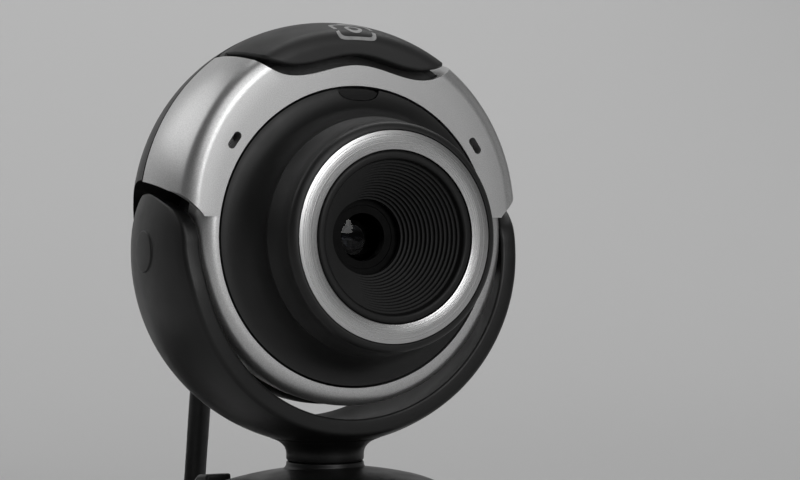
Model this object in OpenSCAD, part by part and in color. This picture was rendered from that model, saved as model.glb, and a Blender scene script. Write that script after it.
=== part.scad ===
// Round-headed desk webcam in a fork stand.
// The origin is on the desk under the swivel axis. The lens looks along -Y and +Z is up.

/* [Head] */
// Radius of the head's round outline, seen from the front
head_r = 27.3; // [25:0.1:34]
// How far the outline's centre lies above the lens axis
head_rise = 2.9; // [0:0.1:4]
// Distance of the flat silver face in front of the tilt axis
face_d = 10.55; // [9:0.05:13]
// Radius of the soft corner between the silver face and the ball
shoulder_r = 2.5; // [1.5:0.1:4]
// Depth of the black rear dome behind the tilt axis
rear_d = 21; // [18:0.5:27]
// Distance of the seam between the two shells behind the tilt axis
seam_y = 1.6; // [0:0.1:3]
// Wall of the moulded shells
wall = 1.8; // [1.2:0.1:2.2]
// Radius of the ball between the fork's arms
core_r = 21.6; // [20.5:0.1:26]
// Outside radius of the silver ring around the dish
ring_r = 23; // [22.5:0.1:27]

/* [Lens and focus] */
// Outside radius of the black dish
dish_r = 20.7; // [19.5:0.05:21]
// Radius of the focus ring at its seam with the dish
barrel_r = 16.3; // [14:0.1:18]
// Distance of that seam in front of the tilt axis
barrel_d = 15.9; // [14:0.1:19]
// Radius of the focus ring's front rim
rim_r = 15.4; // [14.8:0.1:18]
// Distance of the trim ring's face in front of the tilt axis
trim_d = 21.6; // [20:0.1:26]
// Outside radius of the trim ring
trim_outer_r = 14.25; // [13:0.05:14.5]
// Inside radius of the trim ring
trim_inner_r = 11.55; // [10.8:0.05:12.5]
// Number of light-trapping steps in the lens cone
cone_steps = 14; // [8:1:20]
// Radius of the hole at the back of the lens cone
cone_hole_r = 5.2; // [4:0.1:5.6]
// Diameter of the lens cell's thread
thread_d = 12; // [10:0.5:12.5]
// Radius of the front lens
lens_r = 4; // [3:0.1:4.4]

/* [Button] */
// Travel of the snapshot button
button_travel = 0.6; // [0.3:0.1:0.8]
// Height of the button's front edge above the outline's centre, in the middle
button_edge_z = 22.05; // [20:0.05:24]
// Half width of the button between its two dips
button_dip_x = 9.9; // [8:0.1:12]
// Width of the groove between the button and the silver face
button_groove = 1.4; // [0.9:0.1:1.6]

/* [Fork] */
// Inside radius of the fork
fork_in_r = 25; // [24.8:0.1:30]
// Wall of the fork
fork_wall = 2.4; // [2:0.1:3.2]
// Reach of the fork in front of the tilt axis
fork_front = 10; // [8:0.1:11]
// Reach of the fork behind the tilt axis
fork_back = 8; // [7:0.1:10]
// Height of the arms' tops above the tilt axis
arm_top = 7.6; // [6:0.1:9]
// Radius of the arms' rounded top corners
arm_corner_r = 6.6; // [4:0.1:7.4]
// How far the tilt axis lies below the lens axis
pivot_drop = 2; // [0:0.1:3]
// Diameter of the tilt pins
pin_d = 3; // [2.5:0.1:3.6]
// Diameter of the neck
neck_d = 11; // [10:0.1:13]
// Length of the neck between the base and the fork
neck_len = 2.2; // [1.5:0.1:5]

/* [Base] */
// Height of the base's neck collar above the desk
base_h = 20.4; // [18:0.1:26]
// Width of the base
base_w = 25; // [23:0.5:32]
// Reach of the base in front of the swivel axis
base_front = 24; // [21:0.5:30]
// Distance of the leg's hinge behind the swivel axis
hinge_y = 20; // [18:0.5:24]
// Height of the leg's hinge above the desk
hinge_z = 12; // [11:0.5:14]
// Radius of the base's arched top, seen from the side
arch_r = 70; // [60:1:90]
// Thickness of the base's arched shell
arch_t = 4; // [3.2:0.1:5]
// Diameter of the hinge pin
hinge_pin_d = 2.5; // [2:0.1:3]
// Thickness of the rubber pads
pad_t = 1.2; // [0.8:0.1:1.6]
// Reach of the leg's foot behind its hinge
leg_reach = 13; // [10:0.5:16]

/* [Cord] */
// Diameter of the cord
cord_d = 3.5; // [3:0.1:3.9]
// Mean radius of the stowed coil
coil_r = 22; // [20:0.5:26]
// Layers of cord in the coil
coil_layers = 2; // [2:1:3]
// Turns beside each other in the coil
coil_columns = 6; // [4:1:6]

/* [Hidden] */

$fn = 96;
small_fn = 32;
// Gap of a seated part, and gap of a running part.
seat = 0.05;
run = 0.08;
far = 90;
nudge = 0.01;

fork_out_r = fork_in_r + fork_wall;
pivot_z = base_h + neck_len + fork_out_r;
axis_z = pivot_z + pivot_drop;
head_z = axis_z + head_rise;
skirt_z = 0.8;
notch_gap = 1.4;
notch_r = max(norm([fork_front - arm_corner_r, arm_top - arm_corner_r]), norm([fork_back - arm_corner_r, arm_top - arm_corner_r]))
    + arm_corner_r + 1.3;
notch_top = arm_top + notch_gap + 0.3;
inner_skin = wall + seat;
liner_t = 1.2;
liner_top = notch_top + 3;

housing_bore_r = barrel_r - 0.4;
skirt_r = housing_bore_r - run;
skirt_in_r = skirt_r - 1.5;
housing_back_d = 4.5;
dish_lip = 1.4;
trim_t = 1.2;
rim_round = 1.1;
cone_rim_r = trim_inner_r - seat;
cone_mouth_r = trim_inner_r - 1.2;
cone_back_d = trim_d - 8.5;
sleeve_in_r = thread_d / 2 + 0.35;
sleeve_out_r = sleeve_in_r + 1.1;
holder_top_d = 6;
cell_front_d = cone_back_d - 1.2;
cell_back_d = 1.2;
key_w = 1.4;
drag_t = 0.6;

board_d = -1.5;
board_t = 1.6;
board_r = core_r - wall - 1.9;
board_back_d = board_d - board_t;
board_screw_r = board_r - 2.6;
screw_d = 2;
shell_screw_x = 9;
shell_screw_z = 17.2;
switch_z = board_r + 1.6;
led_z = dish_r - 1.6;
led_r = 0.9;
plunger_d = 1;
slot_x = 18.45;
slot_z = 12.8;
slot_w = 1.1;
slot_l = 2.5;
mic_r = 2;
mic_boot_r = 2.6;
mic_front_d = housing_back_d - seat;
screw_seat_d = -12.2;
tie_w = 6.4;
coil_in_r = coil_r - coil_columns * cord_d / 2;
tie_slack = coil_in_r - sqrt(pow(coil_in_r, 2) - pow(tie_w / 2 + 0.1, 2)) + 0.1;

relief_y = rear_d - 2.2;
relief_z = 3.5;
relief_tip_r = cord_d / 2 + 0.7;
relief_reach = relief_y + 14.8;

stem_r = 3;
stem_bore_r = stem_r + run;
collar_h = 2.2;
arch_top_z = base_h - 0.6;
arch_apex_y = -4;
plate_z = base_h - collar_h - 6.5;
block_w = base_w - 6;
block_l = 26;
cover_t = 1.4;
cover_z = plate_z - 4.2;
knuckle_r = hinge_pin_d / 2 + 2;
leg_w = base_w - 9;
knuckle_gap = 0.15;
leg_t = 3.2;
foot_z = pad_t;

coil_w = coil_columns * cord_d;
coil_h = coil_layers * cord_d;
coil_out_r = coil_r + coil_w / 2;
coil_x = -30;
coil_y = 68;
plug_z = 4.1;
plug_x = coil_x - 22 - 10.5 + 1.75;
plug_y = 50;
plug_len = 26;
plug_w = 15.6;
plug_h = 7.8;
shell_len = 12;
relief_len = 14;

// Points that the hanging cord follows behind the head. Its upper end moves with the boot.
drop_base = [[0, 33.2, 50.8], [0, 35.6, 50.0], [0, 38.2, 48.6], [0, 40.6, 46.3], [0, 42.4, 43.2],
    [0, 43.6, 39.2], [0, 44.6, 34.2], [0, 45.6, 29.0], [0, 46.5, 24.0], [0, 47.3, 19.4]];
drop_path = [for (i = [0:9]) drop_base[i] + (1 - i / 9) * [0, relief_y - 18.8, pivot_z + relief_z - 53.5]];
// Points that the cord follows down to the desk and along it into the coil.
run_path = [[0, 47.304, 19.38], [0, 48.0, 15.375], [0, 48.6, 12.2], [-0.1, 49.6, 8.8], [-0.2, 51.3, 5.6], [-0.4, 54.0, 3.3],
    [-0.6, 57.6, 2.1], [-0.4, 61.4, 1.8], [0.2, 64.6, 1.76], [0.7, 67.8, 1.76]];
// Points that the cord follows from the coil's upper layer to its plug.
tail_path = [[-60.75, 67.8, 5.2], [-60.75, 64.0, 5.1], [-60.75, 60.4, 4.7], [-60.75, 57.2, 4.3],
    [-60.75, 54.2, 4.1], [-60.75, 50.02, 4.1]];

// Places a shape drawn with +Z forward on the lens axis.
module on_lens_axis() {
    translate([0, 0, axis_z]) rotate([90, 0, 0]) children();
}

// Places a shape drawn with +Z forward on the centre of the head's outline.
module on_head_axis() {
    translate([0, 0, head_z]) rotate([90, 0, 0]) children();
}

// Places a shape drawn with +Z along +X on the tilt axis.
module on_tilt_axis() {
    translate([0, 0, pivot_z]) rotate([0, 90, 0]) children();
}

// Extrudes a side outline, drawn as [y, z], across the width.
module across(width) {
    rotate([90, 0, 90]) linear_extrude(width, center = true) children();
}

// A tube between two distances along its axis.
module tube(r_out, r_in, from, to) {
    translate([0, 0, from]) difference() {
        cylinder(r = r_out, h = to - from);
        translate([0, 0, -nudge]) cylinder(r = r_in, h = to - from + 2 * nudge);
    }
}

module half_space_front(y) {
    translate([-far, y - 2 * far, -far]) cube([2 * far, 2 * far, 3 * far]);
}

module half_space_back(y) {
    translate([-far, y, -far]) cube([2 * far, 2 * far, 3 * far]);
}

module half_space_above(z) {
    translate([-far, -far, z]) cube([2 * far, 2 * far, 2 * far]);
}

// The head's outer form, shrunk by inset: a ball cut off by a flat face with a soft corner, and a flatter dome behind.
function soft_r(inset) = max(shoulder_r - inset, 0.05);
function soft_d(inset) = face_d - inset - soft_r(inset);
function soft_c(inset) = sqrt(pow(head_r - inset - soft_r(inset), 2) - pow(soft_d(inset), 2));
function soft_a(inset) = atan2(soft_d(inset), soft_c(inset));
function front_points(inset) = concat(
    [for (i = [0:4]) let (a = 90 - (90 - soft_a(inset)) * i / 4)
        [soft_c(inset) + soft_r(inset) * cos(a), soft_d(inset) + soft_r(inset) * sin(a)]],
    [for (i = [1:4]) let (a = soft_a(inset) * (1 - i / 4)) (head_r - inset) * [cos(a), sin(a)]]);
function rear_points(inset) = [for (a = [7.5:7.5:82.5])
    [(head_r - inset) * pow(cos(a), 2 / 2.3), -(rear_d - inset) * pow(sin(a), 2 / 2.3)]];
module dome(inset) {
    on_head_axis() rotate_extrude() polygon(concat(
        [[0, face_d - inset]], front_points(inset), rear_points(inset), [[0, inset - rear_d]]));
}

// The space that the fork's arms and their tilt need, grown by a margin.
module notch(grow) {
    translate([0, 0, pivot_z]) across(2 * far) {
        intersection() {
            circle(r = notch_r + grow);
            translate([-far, -far]) square([2 * far, far + notch_top + grow]);
        }
        translate([-far, -far]) square([2 * far, far + skirt_z + grow]);
    }
}

module core_ball(inset) {
    translate([0, 0, pivot_z]) sphere(r = core_r - inset);
}

// Height of the button's lower edge over the outline's centre: raised middle, two dips, tips turned up.
function edge_z(x) = button_edge_z - 1.75 * pow(sin(90 * min(1, abs(x) / button_dip_x)), 2)
    + 1.9 * pow(max(0, abs(x) - button_dip_x) / 5, 2);
module button_front_outline(drop) {
    translate([0, 0, head_z]) rotate([90, 0, 0]) linear_extrude(2 * far, center = true)
        polygon(concat(
            [for (x = [-22:1:22]) [x, edge_z(x) - drop]],
            [[22, 60], [-22, 60]]));
}

// The button's cut through the shells, bounded behind short of the seam.
module button_zone(drop, back_gap) {
    intersection() {
        button_front_outline(drop);
        half_space_front(seam_y + back_gap);
        half_space_above(head_z + 10);
    }
}

module slot_shape(depth, extra) {
    for (side = [-1, 1])
        on_lens_axis() translate([side * slot_x, slot_z, face_d - depth])
            rotate([0, 0, -side * atan2(slot_z, slot_x)])
                linear_extrude(depth + 3) {
                    translate([0, (slot_l - slot_w) / 2]) circle(d = slot_w + extra, $fn = small_fn);
                    translate([0, -(slot_l - slot_w) / 2]) circle(d = slot_w + extra, $fn = small_fn);
                    square([slot_w + extra, slot_l - slot_w], center = true);
                }
}

function boss_places() = [[-shell_screw_x, -shell_screw_z + 2], [shell_screw_x, -shell_screw_z + 2]];
function board_screw_places() = [for (a = [30, 150, 270]) [board_screw_r * cos(a), board_screw_r * sin(a)]];

// ---- Head ----

module front_bezel() {
    color([0.72, 0.73, 0.74]) difference() {
        union() {
            difference() {
                dome(0);
                dome(wall);
                notch(0);
                half_space_back(seam_y);
            }
            on_lens_axis() rotate_extrude() polygon(concat(
                [[dish_r, 4.6], [ring_r, 4.6]],
                [for (a = [0:15:90]) [ring_r - 2.2 + 2.2 * cos(a), face_d - 3 + 3 * sin(a)]],
                [[dish_r, face_d]]));
        }
        on_lens_axis() cylinder(r = dish_r, h = far);
        button_zone(button_groove, 1);
        slot_shape(6, 0);
    }
}

module rear_shell() {
    color([0.09, 0.09, 0.1]) difference() {
        union() {
            difference() {
                dome(0);
                notch(0);
                half_space_front(seam_y + seat);
            }
            difference() {
                dome(inner_skin);
                notch(0.3);
                half_space_back(seam_y + 1);
                half_space_front(-4.5);
                half_space_above(pivot_z + liner_top);
            }
            difference() {
                core_ball(0);
                half_space_front(-4.5);
                half_space_above(pivot_z + liner_top);
            }
        }
        difference() {
            dome(inner_skin + liner_t);
            notch(0.3 + liner_t);
        }
        difference() {
            core_ball(wall);
            half_space_above(pivot_z + liner_top + 8);
        }
        on_lens_axis() translate([0, 0, housing_back_d - 8]) cylinder(r = dish_r - 0.1, h = far);
        on_tilt_axis() cylinder(r = pin_d / 2 + 1.2 + seat, h = 2 * far, center = true);
        relief_seat(0);
        shell_screw_holes(screw_d / 2 + 0.1, board_back_d);
        shell_screw_holes(screw_d, screw_seat_d + 0.02);
    }
    color([0.09, 0.09, 0.1]) difference() {
        intersection() {
            on_lens_axis() for (p = boss_places())
                translate([p[0], p[1], -rear_d]) tube(screw_d / 2 + 1.6, screw_d / 2 + 0.1, 0, rear_d + board_back_d - 0.1);
            core_ball(wall / 2);
            half_space_back(-board_back_d + 0.1);
        }
        shell_screw_holes(screw_d, screw_seat_d + 0.02);
    }
}

module shell_screw_holes(r, to) {
    on_lens_axis() for (p = boss_places())
        translate([p[0], p[1], -far]) cylinder(r = r, h = far + to, $fn = small_fn);
}

module relief_seat(grow) {
    translate([0, relief_y - 2, pivot_z + relief_z]) rotate([-90, 0, 0])
        cylinder(r = cord_d / 2 + 1.6 + grow, h = 8);
}

// The dish: a concave flare from the silver ring to the focus ring's seam.
function flare(a) = [
    dish_r - 0.1 - (dish_r - 0.1 - barrel_r - 0.1) * cos(a),
    barrel_d - (barrel_d - face_d + 0.1) * sin(a)];
module lens_housing() {
    color([0.06, 0.06, 0.065]) difference() {
        on_lens_axis() rotate_extrude() polygon(concat(
            [for (a = [90:-9:0]) flare(a)],
            [[housing_bore_r, barrel_d], [housing_bore_r, housing_back_d],
                [dish_r - 0.1, housing_back_d]]));
        on_lens_axis() translate([0, 0, housing_back_d - nudge]) difference() {
            cylinder(r = dish_r - 0.1 - dish_lip, h = face_d - housing_back_d - 2.2);
            cylinder(r = housing_bore_r + 1.4, h = far);
        }
        window_disc(0);
        on_lens_axis() translate([0, led_z, 0]) cylinder(r = led_r + seat, h = far, $fn = small_fn);
    }
}

module window_disc(shrink) {
    on_lens_axis() translate([0, dish_r + 1.7, face_d - 1.6]) cylinder(r = 3.6 - shrink, h = 6);
}

module led_window() {
    color([0.25, 0.26, 0.27]) intersection() {
        window_disc(seat);
        on_lens_axis() rotate_extrude() polygon(concat(
            [for (a = [90:-9:27]) flare(a)],
            [[flare(27)[0], face_d - 1.5], [dish_r - 0.1, face_d - 1.5]]));
    }
}

module status_led() {
    color([0.9, 0.9, 0.85]) on_lens_axis() {
        translate([0, led_z, housing_back_d - 0.9]) cylinder(r = led_r, h = 4.2, $fn = small_fn);
        for (x = [-0.6, 0.2]) {
            translate([x, led_z - 6.6, housing_back_d - 1.3]) cube([0.4, 7, 0.5]);
            translate([x, led_z - 6.6, board_d]) cube([0.4, 0.4, housing_back_d - 1 - board_d]);
        }
    }
}

// A black tray under the button, which guides its stem.
module button_carrier() {
    color([0.05, 0.05, 0.05]) difference() {
        intersection() {
            difference() {
                dome(wall + 0.9);
                dome(wall + 1.9);
            }
            button_zone(button_groove + 1.6, -1.2);
        }
        on_lens_axis() translate([0, 0, 4.5]) cylinder(r = ring_r + 0.1, h = far);
        translate([0, -plunger_d, head_z + 10]) cylinder(r = 1.4 + run, h = far, $fn = small_fn);
    }
}

module main_board() {
    color([0.05, 0.25, 0.14]) on_lens_axis() difference() {
        translate([0, 0, board_back_d]) cylinder(r = board_r, h = board_t);
        for (p = concat(boss_places(), board_screw_places(), [[-9, 0], [9, 0]]))
            translate([p[0], p[1], -far]) cylinder(r = screw_d / 2 + 0.15, h = 2 * far, $fn = small_fn);
    }
}

module image_sensor() {
    color([0.12, 0.14, 0.2]) on_lens_axis() translate([-4, -4, board_d]) cube([8, 8, 1]);
}

module sensor_glass() {
    color([0.5, 0.75, 0.8, 0.6]) on_lens_axis() translate([-3.6, -3.6, board_d + 1.9]) cube([7.2, 7.2, 0.4]);
}

module lens_holder() {
    color([0.04, 0.04, 0.04]) on_lens_axis() difference() {
        union() {
            translate([-7, -7, board_d]) cube([14, 14, 3.2]);
            translate([0, 0, board_d]) cylinder(r = thread_d / 2 + 1.6, h = holder_top_d - board_d);
            for (side = [-1, 1])
                translate([side * 9, 0, board_d]) cylinder(r = 2, h = 3.2, $fn = small_fn);
        }
        translate([0, 0, board_d + 2.4]) cylinder(r = thread_d / 2 + run, h = far);
        translate([-4.1, -4.1, board_d - nudge]) cube([8.2, 8.2, 1.5]);
        translate([-3.7, -3.7, board_d + 1]) cube([7.4, 7.4, 3]);
        for (side = [-1, 1])
            translate([side * 9, 0, board_d - nudge]) cylinder(r = screw_d / 2, h = 2.6, $fn = small_fn);
    }
}

// A pan-head screw with a cross recess, its head at z = 0 and its shank along +Z.
module pan_screw(d, length) {
    difference() {
        union() {
            translate([0, 0, -0.6 * d]) cylinder(r = 0.95 * d, h = 0.6 * d, $fn = small_fn);
            translate([0, 0, -nudge]) cylinder(d = d, h = length, $fn = small_fn);
        }
        for (a = [0, 90])
            rotate([0, 0, a]) translate([-0.6 * d, -0.15 * d, -0.6 * d - nudge]) cube([1.2 * d, 0.3 * d, 0.35 * d]);
    }
}

module holder_screws() {
    color([0.6, 0.6, 0.62]) on_lens_axis() for (side = [-1, 1])
        translate([side * 9, 0, board_back_d]) pan_screw(screw_d - 0.1, 3.6);
}

module controller_chip() {
    color([0.05, 0.05, 0.06]) on_lens_axis() translate([-3.5, 1.5, board_back_d - 1]) cube([7, 7, 1]);
}

module memory_chip() {
    color([0.05, 0.05, 0.06]) on_lens_axis() translate([-6.4, -7, board_back_d - 1.2]) cube([4, 5, 1.2]);
}

module clock_crystal() {
    color([0.75, 0.75, 0.77]) on_lens_axis() translate([2.2, -5.6, board_back_d - 1.1]) cube([5, 3.2, 1.1]);
}

module cord_header() {
    color([0.9, 0.88, 0.8]) on_lens_axis() translate([-4, 10.4, board_back_d - 3.6]) difference() {
        cube([8, 3, 3.6]);
        translate([0.6, 0.6, -nudge]) cube([6.8, 1.8, 2.4]);
    }
}

module microphone_boot() {
    color([0.08, 0.08, 0.08]) on_lens_axis() translate([slot_x, slot_z, mic_front_d - 4.4])
        difference() {
            cylinder(r = mic_boot_r, h = 4.4);
            translate([0, 0, -nudge]) cylinder(r = mic_r + seat, h = 3.4);
            cylinder(r = 0.8, h = 6, $fn = small_fn);
        }
}

module microphone() {
    color([0.7, 0.7, 0.72]) on_lens_axis() translate([slot_x, slot_z, mic_front_d - 4.1])
        cylinder(r = mic_r, h = 3);
}

// A strip of gauze set into each slot, below the silver face.
module slot_gauze() {
    color([0.1, 0.1, 0.1]) for (side = [-1, 1])
        on_lens_axis() translate([side * slot_x, slot_z, face_d - 1.9]) rotate([0, 0, -side * atan2(slot_z, slot_x)]) {
            for (end = [-1, 1])
                translate([0, end * (slot_l - slot_w) / 2, 0]) cylinder(d = slot_w - 0.04, h = 0.3, $fn = small_fn);
            translate([-slot_w / 2 + 0.02, (slot_w - slot_l) / 2, 0]) cube([slot_w - 0.04, slot_l - slot_w, 0.3]);
        }
}

module snap_switch() {
    color([0.15, 0.15, 0.16]) on_lens_axis() difference() {
        translate([-3, board_r - 4.2, board_d]) cube([6, 4.4, 3.8]);
        translate([0, board_r - 1.4, plunger_d]) rotate([-90, 0, 0])
            cylinder(r = 1 + run, h = 4, $fn = small_fn);
    }
}

module board_screws() {
    color([0.6, 0.6, 0.62]) on_lens_axis() for (p = board_screw_places())
        translate([p[0], p[1], board_back_d]) pan_screw(screw_d - 0.1, 4.6);
}

module shell_screws() {
    color([0.2, 0.2, 0.21]) on_lens_axis() for (p = boss_places())
        translate([p[0], p[1], screw_seat_d]) pan_screw(screw_d, 14);
}

module pivot_bushes() {
    color([0.85, 0.85, 0.82]) on_tilt_axis() for (side = [-1, 1]) mirror([0, 0, side < 0 ? 1 : 0])
        tube(pin_d / 2 + 1.2, pin_d / 2 + run, core_r - wall - 1, core_r + 0.7);
}

module strain_relief() {
    color([0.05, 0.05, 0.05]) translate([0, relief_y, pivot_z + relief_z]) rotate([-90, 0, 0]) difference() {
        union() {
            translate([0, 0, -1.2]) cylinder(r = cord_d / 2 + 1.6 - seat, h = 4.4);
            translate([0, 0, -2.4]) cylinder(r = cord_d / 2 + 2.8, h = 1);
        }
        translate([0, 0, -2.4 - nudge]) cylinder(r = cord_d / 2, h = 3, $fn = small_fn);
    }
    color([0.05, 0.05, 0.05]) intersection() {
        translate([0, relief_y + 3.1, pivot_z + relief_z]) rotate([-104, 0, 0])
            cylinder(r1 = cord_d / 2 + 1.5, r2 = relief_tip_r, h = relief_len - 0.8, $fn = 48);
        translate([0, 0, pivot_z]) sphere(r = relief_reach);
    }
}

// ---- Button ----

module snapshot_button() {
    color([0.07, 0.07, 0.075]) {
        intersection() {
            difference() {
                dome(-0.05);
                dome(wall - 0.3);
            }
            button_zone(0, -0.3);
        }
        difference() {
            translate([0, -plunger_d, axis_z + switch_z + 0.7]) cylinder(r = 1.4, h = 14, $fn = small_fn);
            difference() {
                translate([0, 0, head_z]) cylinder(r = far, h = far);
                dome(wall - 0.4);
            }
        }
    }
}

module button_mark() {
    color([0.7, 0.7, 0.7]) intersection() {
        difference() {
            dome(-0.17);
            dome(-0.05);
        }
        mark_prism();
    }
}

// A plain camera sign, laid over the soft corner: a frame with a disc in it.
module mark_prism() {
    translate([0, -soft_d(0), head_z + soft_c(0)]) rotate([50, 0, 0]) translate([0, 1.2, 0]) linear_extrude(far) difference() {
        square([6.2, 5.3], center = true);
        difference() {
            square([5, 4.1], center = true);
            circle(r = 1.2, $fn = small_fn);
        }
    }
}

module switch_plunger() {
    color([0.85, 0.2, 0.15]) on_lens_axis() translate([0, board_r - 1.1 + button_travel, plunger_d])
        rotate([-90, 0, 0]) cylinder(r = 1, h = switch_z + 0.7 - board_r + 1.1 - button_travel, $fn = small_fn);
}

// ---- Focus ring ----

module focus_ring() {
    color([0.05, 0.05, 0.055]) on_lens_axis() rotate_extrude() polygon(concat(
        [[barrel_r, barrel_d + 0.15]],
        [for (t = [0.2:0.2:0.8]) [barrel_r + (rim_r - barrel_r) * t - 0.3 * sin(180 * t),
            barrel_d + 0.15 + (trim_d - rim_round - barrel_d - 0.3) * t]],
        [for (a = [0:22.5:90]) [rim_r - rim_round + rim_round * cos(a), trim_d - rim_round + 0.05 + rim_round * sin(a)]],
        [[trim_outer_r, trim_d], [trim_outer_r, trim_d - trim_t], [trim_inner_r, trim_d - trim_t],
            [trim_inner_r, trim_d - trim_t - 1], [skirt_in_r, trim_d - trim_t - 1.6],
            [skirt_in_r, housing_back_d + 1.5], [skirt_r, housing_back_d + 1.5],
            [skirt_r, barrel_d - 4], [skirt_r - drag_t, barrel_d - 4],
            [skirt_r - drag_t, barrel_d - 2.8], [skirt_r, barrel_d - 2.8],
            [skirt_r, barrel_d + 0.15]]));
}

module focus_drag_ring() {
    color([0.1, 0.1, 0.1]) on_lens_axis()
        tube(skirt_r, skirt_r - drag_t, barrel_d - 4 + seat, barrel_d - 2.8 - seat);
}

module trim_ring() {
    color([0.8, 0.8, 0.8]) on_lens_axis() rotate_extrude() polygon([
        [trim_inner_r, trim_d - trim_t], [trim_outer_r, trim_d - trim_t],
        [trim_outer_r, trim_d - 0.15], [trim_outer_r - 0.15, trim_d],
        [trim_inner_r + 0.15, trim_d], [trim_inner_r, trim_d - 0.15]]);
}

// The stepped cone, with a sleeve behind it whose two keys turn the lens cell.
function cone_r(i) = cone_mouth_r + (cone_hole_r - cone_mouth_r) * i / cone_steps;
function cone_d(i) = trim_d - 0.4 + (cone_back_d - trim_d + 0.4) * i / cone_steps;
module baffle_cone() {
    color([0.07, 0.07, 0.07]) on_lens_axis() {
        rotate_extrude() polygon(concat(
            [[cone_rim_r, trim_d - trim_t - 1], [cone_rim_r, trim_d - 0.1],
                [cone_rim_r - 0.3, trim_d + 0.1], [cone_mouth_r + 0.3, trim_d + 0.1]],
            [for (i = [0:cone_steps - 1]) each [[cone_r(i), cone_d(i)], [cone_r(i), cone_d(i + 1) + 0.12]]],
            [[cone_hole_r, cone_back_d], [cone_hole_r, cone_back_d - 0.8],
                [sleeve_in_r, cone_back_d - 0.8], [sleeve_in_r, holder_top_d + 0.4],
                [sleeve_out_r, holder_top_d + 0.4], [sleeve_out_r, cone_back_d - 0.4]]));
        for (side = [0, 180]) rotate([0, 0, side])
            translate([-key_w / 2, thread_d / 2 - 0.5, holder_top_d + 0.6])
                cube([key_w, sleeve_in_r - thread_d / 2 + 0.9, 4]);
    }
}

// ---- Lens ----

module lens_cell() {
    color([0.04, 0.04, 0.04]) on_lens_axis() difference() {
        translate([0, 0, cell_back_d]) cylinder(d = thread_d, h = cell_front_d - cell_back_d);
        translate([0, 0, cell_front_d - 3.4]) cylinder(r = lens_r + 0.4, h = 6);
        translate([0, 0, cell_back_d - nudge]) cylinder(r = 1.6, h = 20);
        translate([0, 0, cell_back_d + 4]) cylinder(r = lens_r - 0.4, h = 3);
        translate([0, 0, cell_back_d - nudge]) cylinder(r = lens_r - 0.6, h = 2.4);
        translate([0, 0, cell_back_d + 2.6]) cylinder(r = lens_r - 0.4, h = 2);
        for (side = [0, 180]) rotate([0, 0, side])
            translate([-key_w / 2 - 0.1, thread_d / 2 - 0.62, holder_top_d])
                cube([key_w + 0.2, 2, far]);
    }
}

// A lens with one domed face, standing on its edge height.
module domed_lens(r, edge_t, rise) {
    ball_r = (r * r + rise * rise) / (2 * rise);
    intersection() {
        translate([0, 0, edge_t + rise - ball_r]) sphere(r = ball_r);
        cylinder(r = r, h = edge_t + rise);
    }
}

module front_lens() {
    color([0.4, 0.5, 0.6, 0.6]) on_lens_axis() translate([0, 0, cell_front_d - 3.4])
        domed_lens(lens_r + 0.35, 0.9, 0.9);
}

module middle_lens() {
    color([0.4, 0.5, 0.6, 0.6]) on_lens_axis() translate([0, 0, cell_back_d + 4])
        domed_lens(lens_r - 0.45, 0.9, 0.5);
}

module rear_lens() {
    color([0.4, 0.5, 0.6, 0.6]) on_lens_axis() translate([0, 0, cell_back_d + 0.6])
        domed_lens(lens_r - 0.65, 0.8, 0.5);
}

module lens_retainer() {
    color([0.03, 0.03, 0.03]) on_lens_axis() tube(lens_r + 0.35, lens_r - 0.7, cell_front_d - 1.6, cell_front_d - 0.1);
}

// ---- Fork ----

module arm_outline() {
    translate([0, pivot_z]) union() {
        for (y = [-fork_front + arm_corner_r, fork_back - arm_corner_r])
            translate([y, arm_top - arm_corner_r]) circle(r = arm_corner_r);
        translate([-fork_front, -far]) square([fork_front + fork_back, far + arm_top - arm_corner_r]);
        translate([-fork_front + arm_corner_r, -far])
            square([fork_front + fork_back - 2 * arm_corner_r, far + arm_top]);
    }
}

module fork() {
    color([0.07, 0.07, 0.075]) difference() {
        union() {
            intersection() {
                translate([0, 0, pivot_z]) sphere(r = fork_out_r);
                across(2 * far) arm_outline();
            }
            translate([0, 0, base_h]) cylinder(d = neck_d, h = neck_len + 3);
            translate([0, 0, base_h + neck_len - 0.6]) cylinder(d1 = neck_d, d2 = neck_d + 5, h = 2.4);
            translate([0, 0, plate_z]) cylinder(r = stem_r, h = base_h - plate_z + nudge);
        }
        translate([0, 0, pivot_z]) sphere(r = fork_in_r);
        on_tilt_axis() cylinder(r = pin_d / 2, h = 2 * far, center = true);
        on_tilt_axis() for (side = [-1, 1]) translate([0, 0, side * (fork_out_r - 0.4)])
            cylinder(r = 3.05, h = 2, center = true);
        translate([0, 0, plate_z - nudge]) cylinder(r = screw_d / 2 + 0.2, h = 9, $fn = small_fn);
    }
}

module pivot_pins() {
    color([0.09, 0.09, 0.1]) on_tilt_axis() for (side = [-1, 1]) mirror([0, 0, side < 0 ? 1 : 0]) {
        translate([0, 0, core_r - wall - 0.6]) cylinder(d = pin_d, h = fork_out_r - core_r + wall - 0.6);
        translate([0, 0, fork_out_r - 1.4]) cylinder(r = 3, h = 1.2);
    }
}

module friction_washers() {
    color([0.7, 0.68, 0.62]) on_tilt_axis() for (side = [-1, 1]) mirror([0, 0, side < 0 ? 1 : 0])
        tube(pin_d / 2 + 1.4, pin_d / 2 + seat, core_r + 0.75, sqrt(pow(fork_in_r, 2) - 9) - 0.02);
}

module swivel_washer() {
    color([0.7, 0.7, 0.72]) translate([0, 0, 0])
        tube(stem_r + 1.6, screw_d / 2 + 0.3, plate_z - 0.85, plate_z - 0.05);
}

module swivel_screw() {
    color([0.6, 0.6, 0.62]) translate([0, 0, plate_z - 0.85]) pan_screw(2 * screw_d / 2 + 0.4, 8);
}

// ---- Base ----

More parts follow.
